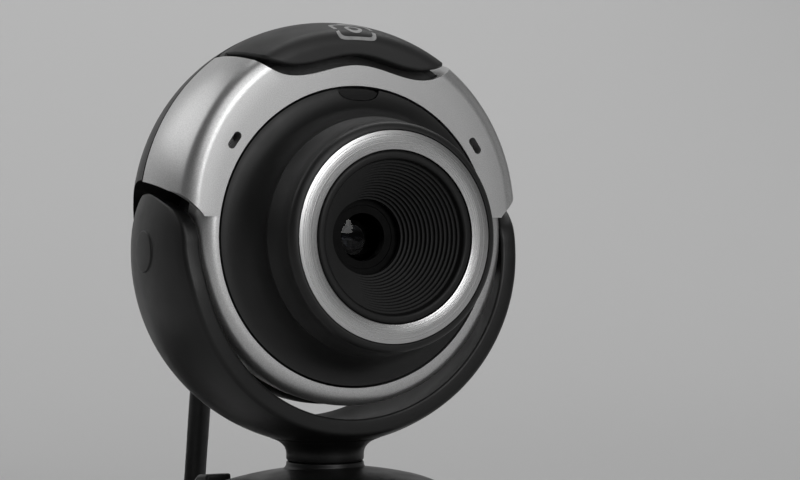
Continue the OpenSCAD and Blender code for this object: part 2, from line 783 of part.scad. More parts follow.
function arch_z(y, drop) = arch_top_z - arch_r + sqrt(pow(arch_r, 2) - pow(y - arch_apex_y, 2)) - drop;
module base_side_outline() {
    polygon(concat(
        [for (y = [-base_front + 5:1.5:hinge_y - 2]) [y, arch_z(y, 0)]],
        [[hinge_y + 1.2, arch_z(hinge_y, 0) - 1.2], [hinge_y + knuckle_r, hinge_z],
            [hinge_y, hinge_z - knuckle_r], [hinge_y - 3.5, hinge_z - knuckle_r]],
        [for (y = [hinge_y - 5:-1.5:-base_front + 10]) [y, arch_z(y, arch_t + 3.4 * pow(sin(90 + 4 * y), 2))]],
        [[-base_front + 6, 6], [-base_front + 5.5, foot_z], [-base_front, foot_z],
            [-base_front - 0.4, foot_z + 3], [-base_front + 1, foot_z + 10]]));
}

module base_hub() {
    color([0.08, 0.08, 0.085]) difference() {
        union() {
            intersection() {
                across(base_w) base_side_outline();
                translate([0, 0, arch_top_z - 46]) rotate([90, 0, 0]) cylinder(r = 46, h = 2 * far, center = true);
            }
            translate([0, 0, arch_top_z - 1.6]) cylinder(d1 = neck_d + 5, d2 = neck_d, h = 2.2);
            translate([-block_w / 2, -block_l / 2, cover_z + cover_t + 0.02])
                cube([block_w, block_l, arch_top_z - 3 - cover_z - cover_t]);
        }
        translate([0, 0, -far]) cylinder(r = stem_bore_r, h = 2 * far);
        translate([0, 0, plate_z - far + 0.1]) cylinder(r = stem_r + 2.2, h = far);
        for (y = [-block_l / 2 + 2.6, block_l / 2 - 2.6])
            translate([0, y, cover_z]) cylinder(r = screw_d / 2 + 0.01, h = 7.6, $fn = small_fn);
        translate([0, hinge_y, hinge_z]) rotate([0, 90, 0]) {
            cylinder(d = hinge_pin_d, h = 2 * far, center = true);
            cylinder(r = knuckle_r + 0.6, h = leg_w + 2 * knuckle_gap, center = true);
        }
        translate([-leg_w / 2 - knuckle_gap, hinge_y - 0.5, -far])
            cube([leg_w + 2 * knuckle_gap, far, far + hinge_z]);
    }
}

module base_cover() {
    color([0.1, 0.1, 0.105]) difference() {
        translate([-block_w / 2, -block_l / 2, cover_z]) cube([block_w, block_l, cover_t]);
        for (y = [-block_l / 2 + 2.6, block_l / 2 - 2.6])
            translate([0, y, 0]) cylinder(r = screw_d / 2 + 0.1, h = far, $fn = small_fn);
    }
}

module cover_screws() {
    color([0.6, 0.6, 0.62]) for (y = [-block_l / 2 + 2.6, block_l / 2 - 2.6])
        translate([0, y, cover_z]) pan_screw(screw_d, 6);
}

module front_foot_pad() {
    color([0.12, 0.12, 0.12]) translate([-base_w / 2 + 1, -base_front + 0.4, 0])
        cube([base_w - 2, 4.8, foot_z - 0.02]);
}

module hinge_pin() {
    color([0.7, 0.7, 0.72]) translate([0, hinge_y, hinge_z]) rotate([0, 90, 0])
        cylinder(d = hinge_pin_d, h = base_w - 1, center = true);
}

// ---- Rear leg ----

module leg_side_outline() {
    polygon([[hinge_y + 0.6, hinge_z + knuckle_r - 0.5], [hinge_y + 3, hinge_z + knuckle_r - 1.2],
        [hinge_y + leg_reach, foot_z + 3], [hinge_y + leg_reach + 1, foot_z],
        [hinge_y + leg_reach - 5.5, foot_z], [hinge_y + leg_reach - 6.5, foot_z + 1.6],
        [hinge_y + 0.6, hinge_z - knuckle_r + 0.5]]);
}

module rear_leg() {
    color([0.08, 0.08, 0.085]) difference() {
        union() {
            translate([0, hinge_y, hinge_z]) rotate([0, 90, 0])
                cylinder(r = knuckle_r, h = leg_w, center = true);
            across(leg_w) leg_side_outline();
        }
        translate([0, hinge_y, hinge_z]) rotate([0, 90, 0])
            cylinder(r = hinge_pin_d / 2 + run, h = 2 * far, center = true);
        translate([-3, hinge_y - far, hinge_z - 10]) cube([6, far + knuckle_r + 0.8, 20]);
    }
}

module leg_foot_pad() {
    color([0.12, 0.12, 0.12]) translate([-leg_w / 2 + 1, hinge_y + leg_reach - 5, 0])
        cube([leg_w - 2, 5.4, foot_z - 0.02]);
}

module friction_sleeve() {
    color([0.75, 0.75, 0.77]) translate([0, hinge_y, hinge_z]) rotate([0, 90, 0])
        tube(hinge_pin_d / 2 + 0.9, hinge_pin_d / 2 + 0.15, -2.6, 2.6);
}

// ---- Cord ----

function unit(v) = v / norm(v);
function heading(path, i) = unit(path[min(i + 1, len(path) - 1)] - path[max(i - 1, 0)]);
function side_of(t) = unit(cross(t, abs(t[0]) > 0.9 ? [0, 1, 0] : [1, 0, 0]));
function ring_at(path, i, sides, r) = let (t = heading(path, i), u = side_of(t), v = cross(t, u))
    [for (k = [0:sides - 1]) path[i] + r * (cos(360 * k / sides) * u + sin(360 * k / sides) * v)];
module sweep(path, grow = 0) {
    sides = 8;
    n = len(path);
    polyhedron(
        points = [for (i = [0:n - 1]) each ring_at(path, i, sides, cord_d / 2 + grow)],
        faces = concat(
            [[for (k = [0:sides - 1]) k]],
            [for (i = [0:n - 2], k = [0:sides - 1])
                [i * sides + k, (i + 1) * sides + k, (i + 1) * sides + (k + 1) % sides, i * sides + (k + 1) % sides]],
            [[for (k = [sides - 1:-1:0]) (n - 1) * sides + k]]));
}

module cord_drop() {
    color([0.04, 0.04, 0.04]) difference() {
        sweep(drop_path);
        translate([0, 0, pivot_z]) sphere(r = relief_reach + seat);
    }
}

module cord_run() {
    color([0.04, 0.04, 0.04]) sweep(run_path);
}

module cord_tail() {
    color([0.04, 0.04, 0.04]) sweep(tail_path);
}

// The stowed turns as one ring, with room for both ends of the cord.
module cord_coil() {
    color([0.04, 0.04, 0.04]) difference() {
        translate([coil_x, coil_y, 0]) tube(coil_out_r, coil_in_r, 0, coil_h);
        sweep(run_path, 0.04);
        sweep(tail_path, 0.04);
    }
}

module cord_tie() {
    color([0.03, 0.03, 0.03]) translate([coil_x - tie_w / 2, coil_y, 0]) difference() {
        translate([0, coil_in_r - tie_slack - 0.8, 0]) cube([tie_w, coil_w + tie_slack + 1.7, coil_h + 0.9]);
        translate([-1, coil_in_r - tie_slack, -1]) cube([tie_w + 2, coil_w + tie_slack + 0.1, coil_h + 1.05]);
    }
}

module plug_body() {
    color([0.05, 0.05, 0.05]) {
        translate([plug_x - plug_w / 2, plug_y - plug_len, plug_z - plug_h / 2]) cube([plug_w, plug_len - 6, plug_h]);
        translate([plug_x, plug_y, plug_z]) rotate([90, 0, 0]) cylinder(r = 3, h = 7);
    }
}

module plug_shell() {
    color([0.8, 0.8, 0.82]) translate([plug_x - 6, plug_y - plug_len - shell_len, plug_z - 2.25]) difference() {
        cube([12, shell_len, 4.5]);
        translate([0.35, -nudge, 0.35]) cube([11.3, shell_len - 1, 3.8]);
    }
}

front_bezel();
rear_shell();
lens_housing();
led_window();
status_led();
button_carrier();
main_board();
image_sensor();
sensor_glass();
lens_holder();
holder_screws();
controller_chip();
memory_chip();
clock_crystal();
cord_header();
microphone();
microphone_boot();
slot_gauze();
snap_switch();
board_screws();
shell_screws();
pivot_bushes();
strain_relief();
snapshot_button();
button_mark();
switch_plunger();
focus_ring();
trim_ring();
baffle_cone();
focus_drag_ring();
lens_cell();
front_lens();
middle_lens();
rear_lens();
lens_retainer();
fork();
pivot_pins();
friction_washers();
swivel_washer();
swivel_screw();
base_hub();
base_cover();
cover_screws();
front_foot_pad();
hinge_pin();
friction_sleeve();
rear_leg();
leg_foot_pad();
cord_drop();
cord_run();
cord_coil();
cord_tie();
cord_tail();
plug_body();
plug_shell();
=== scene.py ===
import bpy
import math
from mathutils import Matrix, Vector


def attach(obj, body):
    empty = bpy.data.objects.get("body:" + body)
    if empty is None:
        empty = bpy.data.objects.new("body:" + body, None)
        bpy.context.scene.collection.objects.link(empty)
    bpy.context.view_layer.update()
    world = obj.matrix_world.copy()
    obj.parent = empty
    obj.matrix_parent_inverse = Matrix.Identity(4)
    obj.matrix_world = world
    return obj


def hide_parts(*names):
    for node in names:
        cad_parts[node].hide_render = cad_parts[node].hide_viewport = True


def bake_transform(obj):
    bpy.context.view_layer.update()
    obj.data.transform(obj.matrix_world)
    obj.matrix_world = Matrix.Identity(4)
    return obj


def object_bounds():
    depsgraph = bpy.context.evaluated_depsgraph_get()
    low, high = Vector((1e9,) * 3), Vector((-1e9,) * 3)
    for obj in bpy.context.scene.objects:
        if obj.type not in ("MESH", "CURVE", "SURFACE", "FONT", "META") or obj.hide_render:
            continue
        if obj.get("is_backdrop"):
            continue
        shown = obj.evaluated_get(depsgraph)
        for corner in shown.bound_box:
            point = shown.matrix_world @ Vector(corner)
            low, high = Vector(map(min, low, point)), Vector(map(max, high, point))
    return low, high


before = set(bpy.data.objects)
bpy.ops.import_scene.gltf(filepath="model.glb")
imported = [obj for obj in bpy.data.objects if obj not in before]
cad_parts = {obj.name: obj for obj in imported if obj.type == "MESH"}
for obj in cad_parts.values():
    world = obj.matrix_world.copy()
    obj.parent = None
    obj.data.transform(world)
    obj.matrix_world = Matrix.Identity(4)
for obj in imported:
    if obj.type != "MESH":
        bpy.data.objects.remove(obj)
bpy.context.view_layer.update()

# ---------------------------------------------------------------- camera
# The eye stands level with the lens, a hand's width to the object's right of it, and looks at it from close by.
MM = 0.001
camera_data = bpy.data.cameras.new("eye")
camera_data.sensor_width = 36
camera_data.lens = 93.24
camera_data.shift_y = -0.00375
camera_data.clip_start = 0.01
camera = bpy.data.objects.new("eye", camera_data)
camera.location = (-128.23 * MM, -264.44 * MM, 52.0 * MM)
camera.rotation_euler = (math.radians(90), 0, math.radians(-27.94))
bpy.context.collection.objects.link(camera)
bpy.context.scene.camera = camera


# ---------------------------------------------------------------- cord
# A 3.5 mm round cord with a soft matt black jacket. It leaves the head through a tapered boot, hangs behind
# the stand, lies down on the desk and is wound into a flat coil of twelve turns, two layers of six.
class Wire:
    """One value in a finish, so that its maths is written as ordinary sums."""

    def __init__(self, finish, socket):
        self.finish = finish
        self.socket = socket

    def sum(self, operation, *values):
        return self.finish.add("ShaderNodeMath", {"operation": operation}, *values)

    def __add__(self, other):
        return self.sum("ADD", self, other)

    def __radd__(self, other):
        return self.sum("ADD", other, self)

    def __sub__(self, other):
        return self.sum("SUBTRACT", self, other)

    def __rsub__(self, other):
        return self.sum("SUBTRACT", other, self)

    def __mul__(self, other):
        return self.sum("MULTIPLY", self, other)

    def __rmul__(self, other):
        return self.sum("MULTIPLY", other, self)

    def __truediv__(self, other):
        return self.sum("DIVIDE", self, other)

    def __rtruediv__(self, other):
        return self.sum("DIVIDE", other, self)

    def __pow__(self, other):
        return self.sum("POWER", self, other)

    def __getitem__(self, name):
        return Wire(self.finish, self.socket.node.outputs[name])


class Finish:
    """A surface finish: a principled shader and the nodes that vary it."""

    def __init__(self, name, colour, roughness, metallic=0.0, **fixed):
        self.material = bpy.data.materials.new(name)
        self.material.use_nodes = True
        self.nodes = self.material.node_tree.nodes
        self.links = self.material.node_tree.links
        self.nodes.clear()
        self.shader = self.nodes.new("ShaderNodeBsdfPrincipled")
        end = self.nodes.new("ShaderNodeOutputMaterial")
        self.links.new(self.shader.outputs[0], end.inputs["Surface"])
        self.set("Base Color", (*colour, 1))
        self.set("Roughness", roughness)
        self.set("Metallic", metallic)
        for socket, value in fixed.items():
            self.set(socket.replace("_", " "), value)

    def set(self, socket, value):
        self.join(self.shader.inputs[socket], value)

    def join(self, socket, value):
        if isinstance(value, Wire):
            self.links.new(value.socket, socket)
        else:
            socket.default_value = value

    def add(self, kind, settings=None, *values, **named):
        node = self.nodes.new(kind)
        for key, value in (settings or {}).items():
            setattr(node, key, value)
        for socket, value in zip(node.inputs, values):
            self.join(socket, value)
        for key, value in named.items():
            self.join(node.inputs[key.replace("_", " ")], value)
        return Wire(self, node.outputs[0])

    def place(self):
        return self.add("ShaderNodeTexCoord")["Object"]

    def noise(self, scale, detail=2.0, where=None, roughness=0.5):
        where = where or self.place()
        return self.add("ShaderNodeTexNoise", None, Vector=where, Scale=scale, Detail=detail,
                        Roughness=roughness)["Fac"]

    def spread(self, value, low, high):
        return self.add("ShaderNodeMapRange", None, Value=value, From_Min=0.3, From_Max=0.7, To_Min=low, To_Max=high)

    def tint(self, mask, one, other):
        node = self.nodes.new("ShaderNodeMix")
        node.data_type = "RGBA"
        self.join(node.inputs[0], mask)
        node.inputs[6].default_value = (*one, 1)
        node.inputs[7].default_value = (*other, 1)
        return Wire(self, node.outputs[2])

    def bump(self, height, depth, strength=1.0):
        self.set("Normal", self.add("ShaderNodeBump", None, Height=height, Distance=depth, Strength=strength))


def grey(value):
    return (value, value, value)


def coat(piece, finish):
    """Gives the whole piece one finish."""
    piece.data.materials.clear()
    piece.data.materials.append(finish.material)
    return piece


def points(*triples):
    return [Vector(p) * MM for p in triples]


def flowing(route, step):
    """Closely spaced points on a smooth curve through a route."""
    line = []
    for i in range(len(route) - 1):
        before = route[max(i - 1, 0)]
        a, b = route[i], route[i + 1]
        after = route[min(i + 2, len(route) - 1)]
        count = max(1, round((b - a).length / step))
        for k in range(count):
            t = k / count
            line.append(0.5 * (2 * a + (b - before) * t + (2 * before - 5 * a + 4 * b - after) * t * t
                               + (3 * a - before - 3 * b + after) * t ** 3))
    line.append(route[-1])
    return line


def skinned(name, loops, capped=True, smooth=60):
    """A closed skin over a row of equal loops."""
    count = len(loops[0])
    spots = [p for loop in loops for p in loop]
    faces = [(i * count + k, i * count + (k + 1) % count, (i + 1) * count + (k + 1) % count, (i + 1) * count + k)
             for i in range(len(loops) - 1) for k in range(count)]
    if capped:
        faces += [tuple(range(count))[::-1], tuple(range((len(loops) - 1) * count, len(loops) * count))]
    mesh = bpy.data.meshes.new(name)
    mesh.from_pydata(spots, [], faces)
    piece = bpy.data.objects.new(name, mesh)
    bpy.context.collection.objects.link(piece)
    tidy(piece, smooth)
    return piece


def alone(piece):
    """Selects just this piece."""
    if bpy.context.object and bpy.context.object.mode != "OBJECT":
        bpy.ops.object.mode_set(mode="OBJECT")
    bpy.ops.object.select_all(action="DESELECT")
    piece.select_set(True)
    bpy.context.view_layer.objects.active = piece


def tidy(piece, smooth=40):
    """Merges doubles, turns faces outwards and shades smooth up to an angle."""
    alone(piece)
    bpy.ops.object.mode_set(mode="EDIT")
    bpy.ops.mesh.select_all(action="SELECT")
    bpy.ops.mesh.remove_doubles(threshold=0.000002)
    bpy.ops.mesh.normals_make_consistent(inside=False)
    bpy.ops.object.mode_set(mode="OBJECT")
    bpy.ops.object.shade_smooth_by_angle(angle=math.radians(smooth))


def cable(name, line, radius, sides=14):
    """A round tube along a line, its rings carried along without twist."""
    loops = []
    side = None
    for i, here in enumerate(line):
        way = (line[min(i + 1, len(line) - 1)] - line[max(i - 1, 0)]).normalized()
        if side is None:
            side = way.cross(Vector((0, 0, 1)) if abs(way.z) < 0.9 else Vector((1, 0, 0)))
        side = (side - way * side.dot(way)).normalized()
        up = way.cross(side)
        loops.append([here + radius * (math.cos(math.tau * k / sides) * side + math.sin(math.tau * k / sides) * up)
                      for k in range(sides)])
    return skinned(name, loops)


CORD_R = 1.75
drop_line = flowing(points(
    (0, 33.2, 50.8), (0, 35.6, 50.0), (0, 38.2, 48.6), (0, 40.6, 46.3), (0, 42.4, 43.2),
    (0, 43.6, 39.2), (0, 44.6, 34.2), (0, 45.6, 29.0), (0, 46.5, 24.0), (0, 47.3, 19.4)), 0.0014)
run_line = flowing(points(
    (0, 47.3, 19.4), (0, 48.0, 15.4), (0, 48.6, 12.2), (-0.1, 49.6, 8.8), (-0.2, 51.3, 5.6), (-0.4, 54.0, 3.2),
    (-0.6, 57.6, 2.0), (-0.4, 61.4, 1.75), (0.2, 64.6, 1.75), (0.7, 67.8, 1.75)), 0.0014)

# The coil: six turns spiral inwards on the desk, six spiral outwards on top of them.
COIL = Vector((-30, 68, 0)) * MM
TURN_POINTS = 40
coil_line = []
for k in range(12 * TURN_POINTS + 1):
    turn = k / TURN_POINTS
    share = min(1.0, max(0.0, (turn - 5.6) / 0.8))
    lift = share * share * (3 - 2 * share)
    rank = min(turn, 5.5) if turn < 6 else 5.5 - max(0.0, turn - 6.5)
    reach = 30.7 - 3.5 * rank * 0.98
    height = 1.75 + 3.5 * lift
    bearing = math.tau * turn
    coil_line.append(COIL + Vector((reach * math.cos(bearing), reach * math.sin(bearing), height)) * MM)
# From the coil's left side the last half turn comes down to the desk and runs forward into the plug.
for k in range(1, TURN_POINTS // 2 + 1):
    bearing = math.tau * k / TURN_POINTS
    coil_line.append(COIL + Vector((30.7 * math.cos(bearing), 30.7 * math.sin(bearing), 5.25)) * MM)
tail_line = flowing([coil_line[-1]] + points(
    (-60.8, 64.6, 5.0), (-60.8, 60.6, 4.6), (-60.75, 56.4, 4.3), (-60.75, 52.6, 4.1), (-60.75, 49.0, 4.1)), 0.0014)
coil_line += tail_line[1:]


def run_length(line):
    return sum((b - a).length for a, b in zip(line, line[1:]))


jacket = Finish("cord_jacket", grey(0.012), 0.5)
jacket.set("Roughness", jacket.spread(jacket.noise(900), 0.44, 0.58))
jacket.bump(jacket.noise(2600, 3), 0.00002)

cord_drop = coat(cable("cord_hanging", drop_line, CORD_R * MM), jacket)
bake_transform(cord_drop)
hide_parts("cord_drop")
cord_run = coat(cable("cord_on_desk", run_line, CORD_R * MM), jacket)
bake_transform(cord_run)
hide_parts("cord_run")
cord_coil = coat(cable("cord_coiled", coil_line, CORD_R * MM, sides=10), jacket)
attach(cord_coil, "base")
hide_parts("cord_coil", "cord_tail")


# ---------------------------------------------------------------- cord tie
# A flat black strap of nylon round the coil, with its little locking head on top.
def block(name, low, high, ease=0.0, segments=3):
    """A box between two corners, in millimetres, with its edges eased."""
    bpy.ops.object.select_all(action="DESELECT")
    size = [b - a for a, b in zip(low, high)]
    bpy.ops.mesh.primitive_cube_add(size=1, location=[(a + b) / 2 * MM for a, b in zip(low, high)],
                                    scale=[s * MM for s in size])
    piece = bpy.context.object
    piece.name = name
    bpy.ops.object.transform_apply(location=True, rotation=True, scale=True)
    if ease:
        round_edges(piece, ease, segments)
    return piece


def round_edges(piece, width, segments=3, angle=35):
    alone(piece)
    modifier = piece.modifiers.new("round", "BEVEL")
    modifier.width = width * MM
    modifier.segments = segments
    modifier.limit_method = "ANGLE"
    modifier.angle_limit = math.radians(angle)
    modifier.harden_normals = False
    bpy.ops.object.modifier_apply(modifier=modifier.name)
    bpy.ops.object.shade_smooth_by_angle(angle=math.radians(50))


def join(name, *pieces):
    alone(pieces[0])
    for piece in pieces[1:]:
        piece.select_set(True)
    bpy.ops.object.join()
    bpy.context.object.name = name
    return bpy.context.object


nylon = Finish("tie_nylon", grey(0.01), 0.42)
nylon.bump(nylon.noise(1500, 2), 0.00002)
tie_parts = [
    block("tie_top", (-33.2, 79.0, 7.05), (-26.8, 101.0, 7.75), 0.25),
    block("tie_inner", (-33.2, 78.7, 0.2), (-26.8, 79.4, 7.7), 0.25),
    block("tie_outer", (-33.2, 100.6, 0.2), (-26.8, 101.3, 7.7), 0.25),
    block("tie_head", (-34.0, 86.5, 7.3), (-26.0, 91.5, 9.0), 0.5),
]
tie = coat(join("cord_strap", *tie_parts), nylon)
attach(tie, "base")
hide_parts("cord_tie")


# ---------------------------------------------------------------- plug
# A standard type A plug: a soft over-moulded grip with a ribbed neck, and a folded, nickelled shell with
# two square windows on each flat side and the contact tongue inside.
grip_finish = Finish("plug_grip", grey(0.014), 0.48)
grip_finish.set("Roughness", grip_finish.spread(grip_finish.noise(700), 0.42, 0.56))
grip_finish.bump(grip_finish.noise(3000, 3), 0.000015)
nickel = Finish("bright_nickel", grey(0.62), 0.24, 1.0)
nickel.set("Roughness", nickel.spread(nickel.noise(500, 4), 0.18, 0.32))
nickel.bump(nickel.noise(4000, 2), 0.000004)

PLUG_X, PLUG_Z = -60.75, 4.1


def oval(cx, cy, cz, half_w, half_h, power, count=48):
    """A squared oval across the plug's length."""
    loop = []
    for k in range(count):
        a = math.tau * k / count
        c, s = math.cos(a), math.sin(a)
        loop.append(Vector((cx + half_w * math.copysign(abs(c) ** (2 / power), c), cy,
                            cz + half_h * math.copysign(abs(s) ** (2 / power), s))) * MM)
    return loop


grip_loops = []
for y, w, h, n in ((24.2, 6.6, 2.9, 5), (24.0, 7.2, 3.4, 5), (24.3, 7.7, 3.85, 5), (27, 7.8, 3.9, 5),
                   (31, 7.7, 3.85, 5),
                   (31.6, 7.45, 3.65, 5), (32.2, 7.7, 3.85, 5), (33.4, 7.7, 3.85, 5), (34.0, 7.45, 3.65, 5),
                   (34.6, 7.65, 3.8, 5), (35.8, 7.6, 3.8, 4.5), (36.4, 7.3, 3.6, 4.5), (37.0, 7.4, 3.7, 4),
                   (39, 6.6, 3.5, 3.4), (41, 5.2, 3.2, 2.8), (42.6, 3.9, 3.0, 2.3), (43.4, 3.3, 2.9, 2),
                   (44.0, 2.6, 2.5, 2), (44.7, 2.6, 2.5, 2), (45.0, 3.0, 2.8, 2), (46.2, 2.95, 2.75, 2),
                   (46.5, 2.4, 2.35, 2), (47.2, 2.4, 2.3, 2), (47.5, 2.8, 2.6, 2), (48.7, 2.75, 2.55, 2),
                   (49.0, 2.25, 2.2, 2), (49.7, 2.25, 2.2, 2), (50.0, 2.5, 2.4, 2), (51.2, 2.4, 2.3, 2),
                   (51.5, 1.9, 1.9, 2)):
    grip_loops.append(oval(PLUG_X, y, PLUG_Z, w, h, n))
plug_grip = coat(skinned("plug_moulding", grip_loops), grip_finish)
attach(plug_grip, "base")
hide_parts("plug_body")


def cut(piece, tool, how="DIFFERENCE"):
    """Takes the tool's shape out of the piece, or keeps or adds it, and puts the tool away."""
    alone(piece)
    modifier = piece.modifiers.new("cut", "BOOLEAN")
    modifier.operation = how
    modifier.object = tool
    modifier.solver = "EXACT"
    bpy.ops.object.modifier_apply(modifier=modifier.name)
    bpy.data.objects.remove(tool)
    return piece


shell = block("plug_shell_new", (-66.75, 12, 1.85), (-54.75, 24.4, 6.35), 0.35)
cut(shell, block("mouth", (-66.4, 11, 2.2), (-55.1, 23, 6.0)))
for x in (-64.2, -59.6):
    cut(shell, block("window", (x, 15.2, 5.5), (x + 2.6, 17.8, 7)))
    cut(shell, block("window", (x, 15.2, 1), (x + 2.6, 17.8, 2.6)))
shell = coat(shell, nickel)
tongue = coat(block("plug_tongue", (-66.2, 12.6, 2.3), (-55.3, 23, 4.0), 0.15), grip_finish)
shell = join("plug_metal", shell, tongue)
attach(shell, "base")
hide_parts("plug_shell")
round(run_length(drop_line), 4)
round(run_length(run_line), 4)
round(run_length(coil_line), 4)


# ---------------------------------------------------------------- silver bezel
# The front of the head: a thin moulded cap, sprayed with fine metallic silver, flat round the dish and
# rolled over at a soft corner. Its sides are cut away for the fork's arms and a ring of it runs under the dish.
AXIS, HEAD, PIVOT = 52.0, 54.9, 50.0
FACE, ROUND = 10.55, 2.5
SIDE = 27.3
REAR = 21.0
SEAM = 1.6


def turned(name, outline, height, steps=200, smooth=40):
    """Turns an outline of (radius, distance in front) round a level axis at this height."""
    bpy.ops.object.select_all(action="DESELECT")
    bpy.ops.mesh.primitive_plane_add(size=0.001, location=(0, 0, 0))
    piece = bpy.context.object
    piece.name = name
    bpy.ops.object.mode_set(mode="EDIT")
    bpy.ops.mesh.merge(type="CENTER")
    spots = [Vector((r, -d, height)) * MM for r, d in outline]
    bpy.ops.transform.translate(value=spots[0])
    for a, b in zip(spots, spots[1:]):
        bpy.ops.mesh.extrude_region_move(TRANSFORM_OT_translate={"value": b - a})
    bpy.ops.mesh.select_all(action="SELECT")
    bpy.ops.mesh.spin(steps=steps, angle=math.tau, center=(0, 0, height * MM), axis=(0, 1, 0))
    bpy.ops.object.mode_set(mode="OBJECT")
    tidy(piece, smooth)
    return piece


def arc(cx, cy, radius, start, end, count=10):
    """Points on an arc, as (radius, distance in front)."""
    return [(cx + radius * math.cos(math.radians(start + (end - start) * k / count)),
             cy + radius * math.sin(math.radians(start + (end - start) * k / count))) for k in range(count + 1)]


def dome_front(inset, sphere_steps=14):
    """The cap's section from its flat face over the soft corner and round the ball: (radius, distance in front)."""
    soft = max(ROUND - inset, 0.2)
    depth = FACE - inset - soft
    reach = math.sqrt((SIDE - inset - soft) ** 2 - depth ** 2)
    turn = math.degrees(math.atan2(depth, reach))
    return arc(reach, depth, soft, 90, turn, 10) + arc(0, 0, SIDE - inset, turn, 0, sphere_steps)[1:]


def dome_back(inset, start=0.0, end=90.0, count=28):
    """The rest of the section, over the flatter dome behind."""
    outline = []
    for k in range(count + 1):
        a = math.radians(start + (end - start) * k / count)
        outline.append(((SIDE - inset) * math.cos(a) ** (2 / 2.3) if k < count or end < 90 else 0.0,
                        -(REAR - inset) * math.sin(a) ** (2 / 2.3)))
    return outline


def seam_angle(y):
    return math.degrees(math.asin((y / REAR) ** (2.3 / 2)))


def prism(name, outline, low, high, along="X"):
    """A straight bar with this outline. Along X it is (y, z); along Y it is (x, z); along Z it is (x, y)."""
    order = {"X": lambda p, t: (t, p[0], p[1]),
             "Y": lambda p, t: (p[0], t, p[1]),
             "Z": lambda p, t: (p[0], p[1], t)}[along]
    loops = [[Vector(order(p, t)) * MM for p in outline] for t in (low, high)]
    return skinned(name, loops, smooth=30)


def smooth_outline(corners, step=0.3):
    """A flowing outline through a few design points, as pairs."""
    return [(p.x, p.y) for p in flowing([Vector((a, b, 0)) for a, b in corners], step)]


# Outline of the arm's room in the head, seen from the side: (behind the tilt axis, above it).
NOTCH = [(-11.2, 0.8), (-11.1, 2.5), (-10.8, 4.1), (-10.2, 5.4), (-9.3, 6.6), (-7.6, 7.7), (-5.2, 8.5),
         (-1.5, 9.2), (2.0, 9.55),
         (4.6, 9.4), (6.8, 8.7), (8.5, 7.4), (9.5, 5.6), (9.9, 3.6), (10.0, 0.8)]


def notch_outline(grow=0.0):
    edge = [(y + grow * y / 10, PIVOT + z + grow * min(1, z / 4)) for y, z in smooth_outline(NOTCH)]
    return [(-60, -30), (-60, edge[0][1])] + edge + [(60, edge[-1][1]), (60, -30)]


# Under the dome's skirt line the cap only carries on as the ring round the dish.
WALL = 1.8
cap_outline = ([(12, FACE), (15, FACE), (18, FACE), (21, FACE)] + dome_front(0) + dome_back(0, 0.5, seam_angle(SEAM), 4)
               + [(SIDE - WALL, -SEAM)] + dome_front(WALL)[::-1] + [(12, FACE - WALL), (12, FACE)])
bezel = turned("silver_bezel", cap_outline, HEAD)
cut(bezel, prism("notch", notch_outline(), -40, 40))
# The cap's rim curves in from its round outline to the ring, over the top of each arm.
SWEEP_IN = [(27.6, 9.2), (26.8, 8.6), (25.8, 7.8), (24.9, 7.0), (24.0, 6.1), (23.2, 5.3), (22.6, 4.5),
            (22.2, 3.8), (22.1, 3.0)]
for side in (-1, 1):
    curve = [(side * x, PIVOT + z) for x, z in smooth_outline(SWEEP_IN)]
    cut(bezel, prism("sweep_in", curve + [(side * 40, PIVOT + 3.0), (side * 40, PIVOT + 9.2)], -20, -6.5, "Y"))

ring_outline = ([(20.0, FACE - 0.02), (20.6, FACE - 0.02)] + arc(21.1, FACE - 2.22, 2.2, 90, 0, 14)
                + [(23.25, 7.4), (23.15, 6.0), (23.0, 4.7), (20.0, 4.7), (20.0, FACE - 0.02)])
ring = turned("bezel_ring", ring_outline, AXIS)
cut(bezel, ring, "UNION")
cut(bezel, turned("dish_hole", [(0, 30), (20.75, 30), (20.75, 0), (0, 0)], AXIS))


def button_edge(x):
    """Height of the button's lower edge over the outline's centre: a raised middle, two dips, tips turned up."""
    far = abs(x)
    return (22.05 - 1.75 * math.sin(math.pi / 2 * min(1, far / 9.9)) ** 2 + 1.9 * (max(0, far - 9.9) / 5) ** 2)


GROOVE = 1.4
edge_line = [(x / 2, HEAD + button_edge(x / 2) - GROOVE) for x in range(-44, 45)]
cut(bezel, prism("button_gap", edge_line + [(24, 130), (-24, 130)], -60, 3.0, "Y"))
for side in (-1, 1):
    lean = math.atan2(12.8, 18.45)
    slot_outline = []
    for k in range(24):
        a = math.tau * k / 24
        u, v = 0.56 * math.cos(a), 0.56 * math.sin(a) + math.copysign(0.72, math.sin(a))
        slot_outline.append((side * (18.45 + u * math.cos(lean) - v * math.sin(lean)),
                             AXIS + 12.9 + u * math.sin(lean) + v * math.cos(lean)))
    cut(bezel, prism("slot", slot_outline, -20, -4, "Y"))
tidy(bezel, 35)

silver = Finish("silver_paint", grey(0.62), 0.3, 0.9)
flakes = silver.noise(9000, 1)
sparks = silver.noise(5200, 2)
silver.set("Base Color", silver.tint(silver.spread(flakes, 0, 1), grey(0.54), grey(0.74)))
silver.set("Roughness", silver.spread(sparks, 0.33, 0.41))
silver.bump(sparks, 0.000006, 0.8)
coat(bezel, silver)
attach(bezel, "head")
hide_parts("front_bezel")


